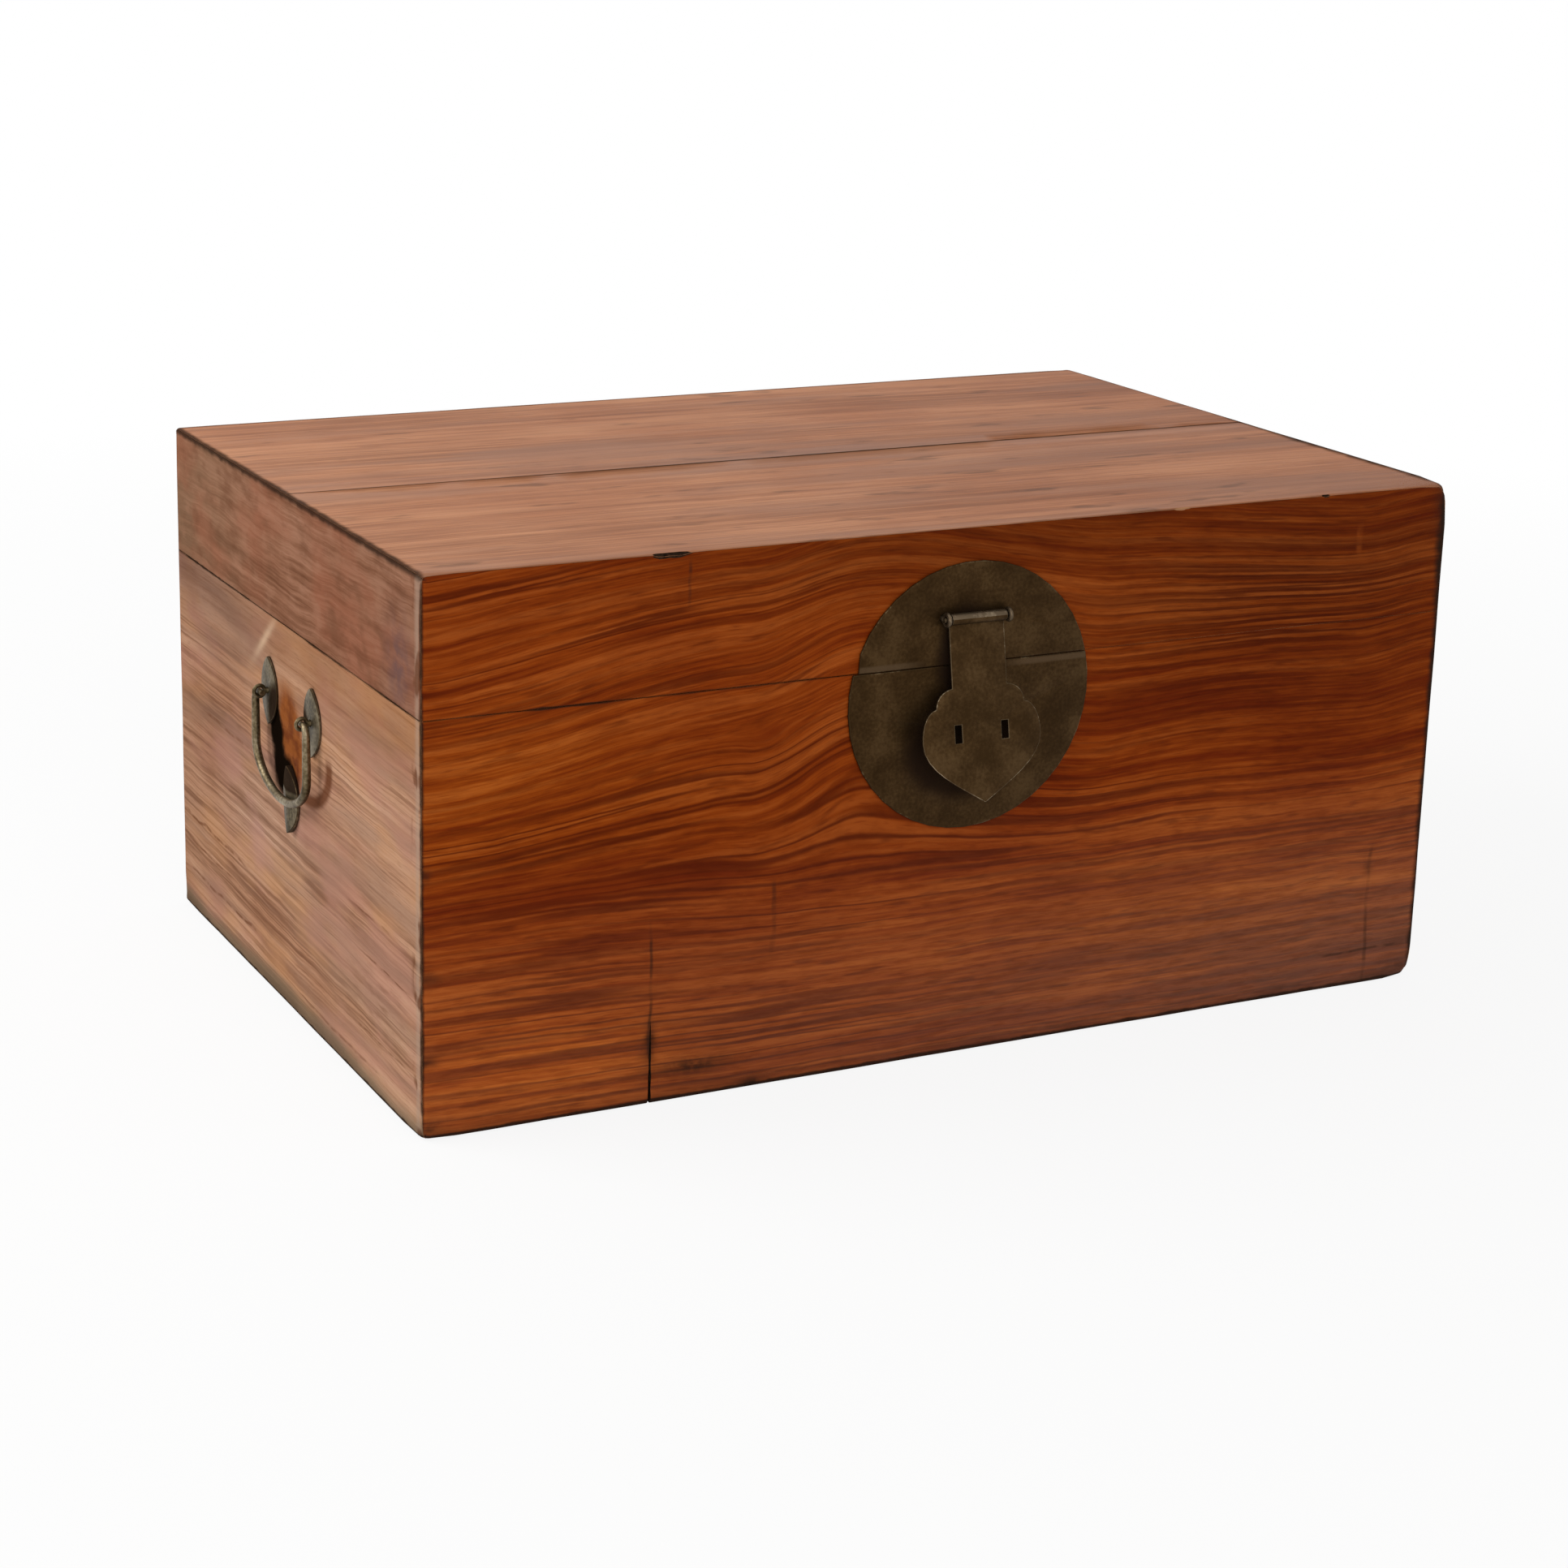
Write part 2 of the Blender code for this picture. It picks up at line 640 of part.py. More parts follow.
def hasp_outline():
    """Cusped outline seen from the front: neck, two small lobes a side, round belly, pointed foot."""
    top = HASP_BARREL + TRIM
    neck = Vector((NECK_HALF, -NECK_LENGTH))
    shoulder = Vector((SHOULDER_HALF, -SHOULDER_DROP))
    belly = Vector((BELLY_HALF, -BELLY_DROP))
    foot = Vector((0, -HASP_LENGTH))
    lobe = shoulder - neck
    swell = belly - shoulder
    taper = foot - belly
    curves = [
        (neck, neck + Vector((lobe.x * LOBE_FULLNESS, lobe.y * LOBE_LEAN)),
         shoulder - Vector((0, lobe.y * LOBE_FULLNESS)), shoulder),
        (shoulder, shoulder + Vector((swell.x * BELLY_FULLNESS, swell.y * LOBE_LEAN)),
         belly - Vector((0, swell.y * BELLY_FULLNESS)), belly),
        (belly, belly + Vector((0, taper.y * FOOT_FULLNESS)),
         foot - Vector((taper.x * FOOT_FULLNESS, taper.y * FOOT_TAPER)), foot),
    ]
    half = [(NECK_HALF, top)]
    for start, out_handle, in_handle, end in curves:
        points = interpolate_bezier(start, out_handle, in_handle, end, BEZIER_POINTS)
        half += [(point.x, point.y) for point in points[:-1]]
    half.append((foot.x, foot.y))
    return mirrored(half)


def make_hasp(parent):
    """Hasp on its pin, hanging a little way out from the plate, with a slot for each lock eye."""
    sheet = curl_profile(HASP_BARREL, HASP_SHEET, HASP_LENGTH + TRIM, 1, -1)
    hasp = prism("hasp", sheet, "X", -BELLY_HALF - TRIM, BELLY_HALF + TRIM, PARTS)
    reach = HASP_BARREL + TRIM
    outline = prism("hasp_outline", hasp_outline(), "Y", -reach, reach, CUTTERS)
    low = -SLOT_DROP - SLOT_HEIGHT / 2
    high = -SLOT_DROP + SLOT_HEIGHT / 2
    slots = []
    for side in (-1, 1):
        left = side * SLOT_SPACING / 2 - SLOT_WIDTH / 2
        right = left + SLOT_WIDTH
        slots.append([(left, low), (right, low), (right, high), (left, high)])
    openings = prisms("hasp_slots", slots, "Y", [(-reach, reach)], CUTTERS)
    hang = Matrix.Translation((0, HASP_Y, HASP_Z)) @ Matrix.Rotation(-HASP_TILT, 4, "X")
    for obj in (hasp, outline, openings):
        obj.matrix_world = hang
    boolean(hasp, outline, "INTERSECT")
    cut(hasp, openings)
    finish_part(hasp, "dark_bronze", parent)


def leaf_outline(width, height):
    """Pointed leaf, drawn across and up about its middle."""
    tip = Vector((0, height / 2))
    side = Vector((width / 2, 0))
    tip_handle = tip + Vector((width * LEAF_TIP_SPREAD, -height * LEAF_TIP_DROP))
    side_handle = side + Vector((0, height * LEAF_FULLNESS))
    upper = interpolate_bezier(tip, tip_handle, side_handle, side, BEZIER_POINTS)
    quarter = [(point.x, point.y) for point in upper]
    lower = [(across, -up) for across, up in reversed(quarter[:-1])]
    return mirrored(quarter + lower)


def leaf_plate(name, side, along_depth, height, width, tall, edge, ridge, finish, parent):
    """Leaf plate on an end of the chest, thickest along a ridge down its middle."""
    outline = [(along_depth + across, height + up) for across, up in leaf_outline(width, tall)]
    wall = HALF_WIDTH + GAP
    reach = sorted((side * wall, side * (wall + ridge + TRIM)))
    plate = prism(name, outline, "X", reach[0], reach[1], PARTS)
    near = along_depth - width / 2 - TRIM
    far = along_depth + width / 2 + TRIM
    back = side * (wall - TRIM)
    eave = side * (wall + edge)
    roof = [(back, near), (eave, near), (side * (wall + ridge), along_depth), (eave, far), (back, far)]
    form = prism(name + "_roof", roof, "Z", height - tall, height + tall, CUTTERS)
    boolean(plate, form, "INTERSECT")
    return finish_part(plate, finish, parent)


def bail_path(x):
    """Rear half of the bail, from its inner pin end to the middle of the grip, as curve knots."""
    eye = HANDLE_SPREAD / 2 - HANDLE_FORWARD
    leg = eye + BAIL_OVERHANG
    pin_end = eye - BAIL_PIN_REACH
    foot = HANDLE_HEIGHT - BAIL_DROP
    turn = BAIL_BEND / 2
    return [
        ((x, pin_end, HANDLE_HEIGHT), (0, turn, 0), BAIL_PIN),
        ((x, leg - BAIL_BEND, HANDLE_HEIGHT), (0, turn, 0), BAIL_PIN),
        ((x, leg, HANDLE_HEIGHT - BAIL_BEND), (0, 0, -turn), BAIL_SHOULDER_BAR),
        ((x, leg, HANDLE_HEIGHT - BAIL_LEG), (0, 0, -BAIL_LEG_FULLNESS), BAIL_BAR),
        ((x, -HANDLE_FORWARD, foot), (0, -BAIL_GRIP_FULLNESS, 0), BAIL_GRIP_BAR),
    ]


def make_bail(name, side, parent):
    """Forged bail: a round bar whose radius is set at each knot, thin pins turned in through the eyes."""
    curve = bpy.data.curves.new(name, "CURVE")
    curve.dimensions = "3D"
    curve.bevel_depth = 1.0
    curve.bevel_resolution = BAIL_SIDES
    curve.resolution_u = BAIL_RESOLUTION
    curve.use_fill_caps = True
    half = bail_path(side * (HALF_WIDTH + HANDLE_STANDOFF))
    knots = list(half)
    for place, handle, radius in reversed(half[:-1]):
        mirrored_y = -2 * HANDLE_FORWARD - place[1]
        knots.append(((place[0], mirrored_y, place[2]), (handle[0], handle[1], -handle[2]), radius))
    spline = curve.splines.new("BEZIER")
    spline.bezier_points.add(len(knots) - 1)
    for point, (place, handle, radius) in zip(spline.bezier_points, knots):
        point.co = place
        point.handle_left_type = "FREE"
        point.handle_right_type = "FREE"
        point.handle_left = Vector(place) - Vector(handle)
        point.handle_right = Vector(place) + Vector(handle)
        point.radius = radius
    bail = bpy.data.objects.new(name, curve)
    PARTS.objects.link(bail)
    return finish_part(bail, "green_bronze", parent)


def make_handle(word, side, wall, case_axis, bail_axis):
    """One handle: two leaf plates, two eyes, the bail and the striker that it hangs against."""
    outer = side * HALF_WIDTH
    inward = (-side, 0, 0)
    for place, spread in (("front", -HANDLE_SPREAD / 2), ("rear", HANDLE_SPREAD / 2)):
        tag = "%s_handle_%s" % (word, place)
        along = spread - HANDLE_FORWARD
        hole_start = (outer + side * (GAP + LEAF_RIDGE + TRIM), along, HANDLE_HEIGHT)
        hole = shank_hole(tag + "_hole", hole_start, inward, LEAF_RIDGE + WALL + 3 * TRIM)
        plate = leaf_plate(
            tag + "_leaf", side, along, HANDLE_HEIGHT, LEAF_WIDTH, LEAF_HEIGHT, LEAF_EDGE, LEAF_RIDGE,
            "green_bronze", case_axis)
        cut(plate, hole)
        cut(wall, hole)
        centre = (side * (HALF_WIDTH + HANDLE_STANDOFF), along, HANDLE_HEIGHT)
        eye_post(
            tag + "_eye", centre, (0, 1, 0), inward, HANDLE_EYE_RING, HANDLE_EYE_WIRE, WALL - HALF_WIDTH,
            (0, 1, 0), "green_bronze", case_axis)
    bar_height = HANDLE_HEIGHT - BAIL_DROP
    middle = bar_height - STRIKER_BELOW_BAR + STRIKER_HEIGHT / 2
    leaf_plate(
        word + "_handle_striker", side, -HANDLE_FORWARD, middle, STRIKER_WIDTH, STRIKER_HEIGHT, STRIKER_EDGE,
        STRIKER_RIDGE, "green_bronze", case_axis)
    make_bail(word + "_bail", side, bail_axis)


def rounded_leaf(half_width, near, far, radius):
    """Hinge leaf seen from behind, square at the barrel and rounded at its far corners."""
    direction = 1 if far > near else -1
    turn = direction * math.pi / 2
    corner = (half_width - radius, far - direction * radius)
    half = [(half_width, near)]
    half += arc(corner, radius, 0, turn, LEAF_CORNER_STEP)
    return mirrored(half)


def hinge_leaf(name, middle_x, hang_side, own_knuckles, parent):
    """Leaf of a back hinge: sheet rolled at the pin, notched for the other leaf's knuckles."""
    profile = curl_profile(HINGE_BARREL, HINGE_SHEET, HINGE_LEAF + TRIM, -1, hang_side)
    profile = [(HINGE_Y + across, HINGE_Z + height) for across, height in profile]
    half = HINGE_WIDTH / 2
    leaf = prism(name, profile, "X", middle_x - half - TRIM, middle_x + half + TRIM, PARTS)
    near = -hang_side * (HINGE_BARREL + TRIM)
    outline = rounded_leaf(half, near, hang_side * HINGE_LEAF, HINGE_CORNER)
    outline = [(middle_x + across, HINGE_Z + height) for across, height in outline]
    trim = prism(name + "_outline", outline, "Y", HALF_DEPTH - TRIM, HINGE_Y + HINGE_BARREL + TRIM, CUTTERS)
    boolean(leaf, trim, "INTERSECT")
    knuckle = HINGE_WIDTH / HINGE_KNUCKLES
    notch_reach = HINGE_BARREL + GAP
    bm = bmesh.new()
    for index in range(HINGE_KNUCKLES):
        if index in own_knuckles:
            continue
        left = middle_x - half + index * knuckle - (GAP / 2 if index else TRIM)
        right = middle_x - half + (index + 1) * knuckle + (GAP / 2 if index < HINGE_KNUCKLES - 1 else TRIM)
        low = HINGE_Z - notch_reach - (TRIM if hang_side > 0 else 0)
        high = HINGE_Z + notch_reach + (TRIM if hang_side < 0 else 0)
        square = [(left, low), (right, low), (right, high), (left, high)]
        add_prism(bm, square, "Y", HALF_DEPTH - TRIM, HINGE_Y + HINGE_BARREL + TRIM)
    notches = object_from_bmesh(name + "_notches", bm, CUTTERS)
    cut(leaf, notches)
    return finish_part(leaf, "dark_bronze", parent)


def make_hinges(case_axis, lid_axis):
    """Two back hinges: outer knuckles on the case leaf, inner ones on the lid leaf."""
    case_knuckles = range(0, HINGE_KNUCKLES, 2)
    lid_knuckles = range(1, HINGE_KNUCKLES, 2)
    for word, side in (("left", -1), ("right", 1)):
        middle_x = side * HINGE_SPACING / 2
        hinge_leaf("%s_hinge_case_leaf" % word, middle_x, -1, case_knuckles, case_axis)
        hinge_leaf("%s_hinge_lid_leaf" % word, middle_x, 1, lid_knuckles, lid_axis)
        half = HINGE_WIDTH / 2 + HINGE_PIN_END
        pin = cylinder(
            "%s_hinge_pin" % word, (middle_x - half, HINGE_Y, HINGE_Z), (middle_x + half, HINGE_Y, HINGE_Z),
            HINGE_PIN, PIN_SEGMENTS, PARTS)
        finish_part(pin, "bright_bronze", case_axis)


def main():
    case_axis = axis_empty("case_frame", (0, 0, 0))
    lid_axis = axis_empty("lid_axis", (0, HINGE_Y, HINGE_Z), case_axis)
    hasp_axis = axis_empty("hasp_axis", (0, HASP_Y, HASP_Z), lid_axis)
    form = envelope()
    case_walls = make_case_walls(form, case_axis)
    lid_walls = make_lid_walls(form, lid_axis)
    make_lid_top(form, lid_axis)
    make_bottom(case_axis)
    make_lip(case_axis)
    make_lock(case_walls["front_board"], lid_walls["front_wall"], case_axis, lid_axis)
    make_hasp(hasp_axis)
    make_hinges(case_axis, lid_axis)
    for word, side, wall in (("left", -1, "left_end"), ("right", 1, "right_end")):
        pivot = (side * (HALF_WIDTH + HANDLE_STANDOFF), -HANDLE_FORWARD, HANDLE_HEIGHT)
        bail_axis = axis_empty(word + "_bail_axis", pivot, case_axis)
        make_handle(word, side, case_walls[wall], case_axis, bail_axis)


main()
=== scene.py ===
"""Camphor chest, dressed: worn lacquered boards, bronze lock plate and hasp, bail handles, back hinges.

Metres, +Z up, front towards -Y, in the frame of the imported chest.
"""
import math

import bmesh
import bpy
from mathutils import Matrix, Vector, noise


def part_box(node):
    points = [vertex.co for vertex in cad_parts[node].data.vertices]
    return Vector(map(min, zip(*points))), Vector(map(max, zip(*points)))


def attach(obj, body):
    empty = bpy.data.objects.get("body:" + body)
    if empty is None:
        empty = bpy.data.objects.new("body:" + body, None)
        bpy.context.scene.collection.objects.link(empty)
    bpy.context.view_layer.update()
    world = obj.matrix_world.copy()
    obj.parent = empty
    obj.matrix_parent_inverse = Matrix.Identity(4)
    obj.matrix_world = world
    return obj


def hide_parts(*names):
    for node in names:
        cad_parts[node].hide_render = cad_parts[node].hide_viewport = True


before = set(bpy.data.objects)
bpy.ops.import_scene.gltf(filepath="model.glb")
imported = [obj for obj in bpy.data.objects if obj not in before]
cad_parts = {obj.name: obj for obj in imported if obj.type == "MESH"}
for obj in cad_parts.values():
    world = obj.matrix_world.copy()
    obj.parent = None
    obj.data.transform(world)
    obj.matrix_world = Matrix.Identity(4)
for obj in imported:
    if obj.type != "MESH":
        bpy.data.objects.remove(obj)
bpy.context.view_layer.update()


# Setting
# A pale studio floor under a soft white sky. A large soft lamp stands high at the left, behind the chest,
# and a weaker one in front. The camera stands left of the front and looks a little down on the lid.
CAMERA_PLACE = Vector((-1.0942, -2.0775, 0.8447))
CAMERA_AZIMUTH = math.radians(26.469)
CAMERA_ELEVATION = math.radians(14.948)
CAMERA_ROLL = math.radians(1.279)
CAMERA_LENS = 73.62
CAMERA_SHIFT = (0.0397, -0.0768)
LAMPS = (
    ("key_lamp", Vector((-1.9, 0.7, 1.7)), 1.6, 33),
    ("fill_lamp", Vector((-0.8, -3.2, 1.7)), 2.4, 24))
LAMP_AIM = Vector((0, 0, 0.25))
WHITE = (1, 1, 1, 1)
SKY_LEVEL = 0.55
FLOOR_COLOUR = (0.86, 0.855, 0.845, 1)
FLOOR_HALF = 30
FLOOR_WHITENESS = 0.88
FLOOR_NEAR = 0.8
FLOOR_FAR = 2.2
FLOOR_GAP = 0.0004


class Nodes:
    """Short calls that add nodes to one node tree."""

    def __init__(self, tree):
        self.tree = tree

    def feed(self, socket, value):
        if isinstance(value, bpy.types.NodeSocket):
            self.tree.links.new(value, socket)
        else:
            socket.default_value = value

    def add(self, kind, inputs=None, **settings):
        """Node with its settings; each input is a value or another node's output."""
        node = self.tree.nodes.new(kind)
        for name, value in settings.items():
            setattr(node, name, value)
        for key, value in (inputs or {}).items():
            self.feed(node.inputs[key], value)
        return node

    def made(self, kind, inputs=None, **settings):
        """First output of a new node."""
        return self.add(kind, inputs, **settings).outputs[0]

    def calc(self, operation, *values):
        return self.made("ShaderNodeMath", dict(enumerate(values)), operation=operation)

    def times(self, first, second):
        return self.calc("MULTIPLY", first, second)

    def less(self, first, second):
        return self.calc("SUBTRACT", first, second)

    def most(self, first, second):
        return self.calc("MAXIMUM", first, second)

    def add_scaled(self, value, factor, base):
        """The base plus the value times a factor."""
        return self.calc("MULTIPLY_ADD", value, factor, base)

    def seen_directly(self):
        """1 where a camera, glossy or transmission ray arrives, 0 for the light that falls on the chest."""
        ray = self.add("ShaderNodeLightPath").outputs
        shiny = self.most(ray["Is Glossy Ray"], ray["Is Transmission Ray"])
        return self.most(ray["Is Camera Ray"], shiny)


def linked(name, data):
    """New object in the scene with this mesh, lamp, camera or curve."""
    item = bpy.data.objects.new(name, data)
    bpy.context.scene.collection.objects.link(item)
    return item


def plain_object(name, bm, *finishes):
    mesh = bpy.data.meshes.new(name)
    bm.to_mesh(mesh)
    bm.free()
    for finish in finishes:
        mesh.materials.append(finish)
    return linked(name, mesh)


def place_camera():
    lens = bpy.data.cameras.new("camera")
    lens.lens = CAMERA_LENS
    lens.shift_x, lens.shift_y = CAMERA_SHIFT
    camera = linked("camera", lens)
    level = math.cos(CAMERA_ELEVATION)
    forward = Vector((
        math.sin(CAMERA_AZIMUTH) * level, math.cos(CAMERA_AZIMUTH) * level, -math.sin(CAMERA_ELEVATION)))
    turn = forward.to_track_quat("-Z", "Y").to_matrix() @ Matrix.Rotation(CAMERA_ROLL, 3, "Z")
    camera.matrix_world = Matrix.Translation(CAMERA_PLACE) @ turn.to_4x4()
    bpy.context.scene.camera = camera


def hang_lamps():
    for name, place, size, power in LAMPS:
        light = bpy.data.lights.new(name, "AREA")
        light.size = size
        light.energy = power
        lamp = linked(name, light)
        lamp.location = place
        lamp.rotation_euler = (LAMP_AIM - place).to_track_quat("-Z", "Y").to_euler()
        lamp.visible_camera = False


def light_sky():
    """White where it is seen, weaker as a light."""
    sky = bpy.data.worlds.new("soft_sky")
    sky.use_nodes = True
    bpy.context.scene.world = sky
    nodes = Nodes(sky.node_tree)
    backdrop = sky.node_tree.nodes["Background"].inputs
    nodes.feed(backdrop["Color"], WHITE)
    nodes.feed(backdrop["Strength"], nodes.add_scaled(nodes.seen_directly(), 1 - SKY_LEVEL, SKY_LEVEL))


def lay_floor():
    """Matt floor that fades into the white sky away from the chest."""
    bm = bmesh.new()
    bmesh.ops.create_grid(bm, x_segments=1, y_segments=1, size=FLOOR_HALF)
    bmesh.ops.translate(bm, vec=(0, 0, -FLOOR_GAP), verts=bm.verts)
    floor = plain_object("floor", bm)
    paper = bpy.data.materials.new("pale_floor")
    paper.use_nodes = True
    nodes = Nodes(paper.node_tree)
    paper.node_tree.nodes.remove(paper.node_tree.nodes["Principled BSDF"])
    matt = nodes.made("ShaderNodeBsdfDiffuse", {"Color": FLOOR_COLOUR})
    white = nodes.made("ShaderNodeEmission", {"Color": WHITE, "Strength": 1.0})
    place = nodes.add("ShaderNodeTexCoord").outputs["Object"]
    away = nodes.add("ShaderNodeVectorMath", {0: place}, operation="LENGTH").outputs["Value"]
    fade = {"Value": away, "From Min": FLOOR_NEAR, "From Max": FLOOR_FAR, "To Min": FLOOR_WHITENESS}
    whiteness = nodes.made("ShaderNodeMapRange", fade)
    share = nodes.times(nodes.seen_directly(), whiteness)
    mixed = nodes.made("ShaderNodeMixShader", {0: share, 1: matt, 2: white})
    nodes.feed(paper.node_tree.nodes["Material Output"].inputs["Surface"], mixed)
    floor.data.materials.append(paper)


bpy.context.scene.view_settings.view_transform = "Standard"
place_camera()
hang_lamps()
light_sky()
lay_floor()


# Case walls
# Four camphor boards, lapped and mitred at the corners over hidden dovetails, lacquered outside and bare
# inside. The arrises are worn round and black with grime. The front has split at the foot; the ends have
# faded.
HALF_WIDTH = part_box("case_right_end")[1].x
HALF_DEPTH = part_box("case_back_board")[1].y
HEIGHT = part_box("lid_top_front_board")[1].z
CASE_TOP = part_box("case_front_board")[1].z
LID_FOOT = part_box("lid_front_wall")[0].z
SEAM = (CASE_TOP + LID_FOOT) / 2
HALF_SIZE = Vector((HALF_WIDTH, HALF_DEPTH, HEIGHT / 2))
BOX_MIDDLE = Vector((0, 0, HEIGHT / 2))

FACE_STEP = 0.025
FINE_STEPS = (0.0002, 0.0005, 0.0009, 0.0014, 0.002, 0.0027, 0.0036, 0.0048, 0.0064, 0.0088)
MERGE = 1e-6
ON_SKIN = 1e-4
SKIN = 0.003
SKIN_SLOPE = 0.35
SHARP = math.radians(32)
ARRIS_TOP = 0.0028
ARRIS_SIDE = 0.004
ARRIS_FOOT = 0.0036
ARRIS_WANDER = 0.0007
WANDER_LUMPS = 22
CORNER_WEAR_LEFT = 0.0036
CORNER_WEAR_BACK = 0.0008
CORNER_WEAR_RIGHT = 0.0066
CORNER_REACH = 0.013
DENT_DEPTH = 0.004
DENT_LUMPS = 55
DENT_RARITY = 0.42
UNEVEN = 0.00025
UNEVEN_LUMPS = 7
SEAM_EASE = 0.0007
SEAM_DEPTH = 0.0003
SEAM_TIGHT = 0.1
SEAM_WANDER = 0.8
SEAM_LUMPS = 30
JOINT_EASE = 0.0022
JOINT_DEPTH = 0.0003
SPLIT_PLACE = -0.2365
SPLIT_TOP = 0.06
SPLIT_HALF = 0.0012
SPLIT_WANDER = 0.001
SPLIT_LUMPS = 60
SPLIT_RAGGED = 0.5
SPLIT_RAGS = 130
SPLIT_RAG_SEED = 5
SPLIT_DEPTH = 0.009
SPLIT_UNDER = 0.002
SPLIT_STEPS = 14

# Lumps a metre in the noises of the wood: along the grain, across it and through the board.
SLOW_SWAY = (1.6, 2.5, 3.0)
QUICK_SWAY = (7.0, 11.0, 9.0)
CURLS = (24.0, 30.0, 20.0)
BANDS = (1.3, 22.0, 8.0)
STREAKS = (3.0, 120.0, 20.0)
FIBRES = (14.0, 480.0, 60.0)
GROWTH_LINES = (1.8, 140.0, 20.0)
GATHERINGS = (1.6, 16.0, 9.0)
PORES = (70.0, 1300.0, 200.0)
DASHES = (26.0, 240.0, 40.0)
RING_BREAKS = (4.0, 70.0, 20.0)
GRIT = (60.0, 330.0, 60.0)

# Shares of those noises in the figure, and the spacing of the growth rings.
QUICK_SHARE = 0.24
BAND_SHARE = 0.28
STREAK_SHARE = 0.4
FIBRE_SHARE = 0.32
PORE_TINT = 0.3
RING_RAGGED = 3.0
RING_SPACING = 0.0068

# Lumps a metre in the noises of wear and dirt: along x, y and z.
PATCHES = (6.0, 6.0, 9.0)
RAGS = (80.0, 80.0, 80.0)
LINE_WOBBLE = (26.0, 26.0, 26.0)
LINE_BREAKS = (75.0, 75.0, 75.0)
NICKS = (60.0, 60.0, 34.0)
SEAM_BREAKS = (14.0, 14.0, 14.0)
END_FLECKS = (40.0, 40.0, 210.0)
DIRT_LUMPS = (300.0, 300.0, 300.0)

# Grime on each arris: how near it is full, how far it reaches, and its strength.
GRIME_CORNER = (0.0014, 0.0042, 0.95)
GRIME_END_TOP = (0.0012, 0.0046, 0.88)
GRIME_FRONT_TOP = (-0.0006, 0.0014, 0.45)
GRIME_BACK_TOP = (0.002, 0.008, 0.7)
GRIME_FOOT = (0.0028, 0.005, 0.92)

# How far ragged edges wander, and how grime thickens from left to right.
GRIME_RAGGED = 0.003
SEAM_RAGGED = 0.0018
NICK_RAGGED = 0.004
FOOT_RAGGED = 0.024
LEFT_TO_RIGHT = (-0.3, 0.3)
GRIME_LEFT = 1.3

LACQUER_ROUGHNESS = 0.38
BARE_ROUGHNESS = 0.6
DIRT_ROUGHNESS = 0.7
LACQUER_RELIEF = 0.0001
BARE_RELIEF = 0.00015
DIRT_RELIEF = 0.0004
PORE_DEPTH = 0.6
LINE_DEPTH = 0.4

PATCH_SHADE = (0.78, 0.68, 0.62, 1)
BARE_DARK = (0.31, 0.13, 0.052, 1)
BARE_MIDDLE = (0.51, 0.26, 0.12, 1)
BARE_LIGHT = (0.64, 0.38, 0.205, 1)
BARE_STAINS = (((11.0, 11.0, 11.0), 4.0, (0.52, 0.75, 0.0, 0.5), BARE_DARK),)
ARRIS_HIGHLIGHT = (0.38, 0.27, 0.2, 1)
RUB_MARK_AND_SHADOW = (0.12, 0.038, 0.015, 1)
GRIME_AND_SHADE = (0.02, 0.011, 0.007, 1)
DIRT_TONES = ((0.3, (0.008, 0.0045, 0.003, 1)), (0.7, (0.045, 0.024, 0.014, 1)))


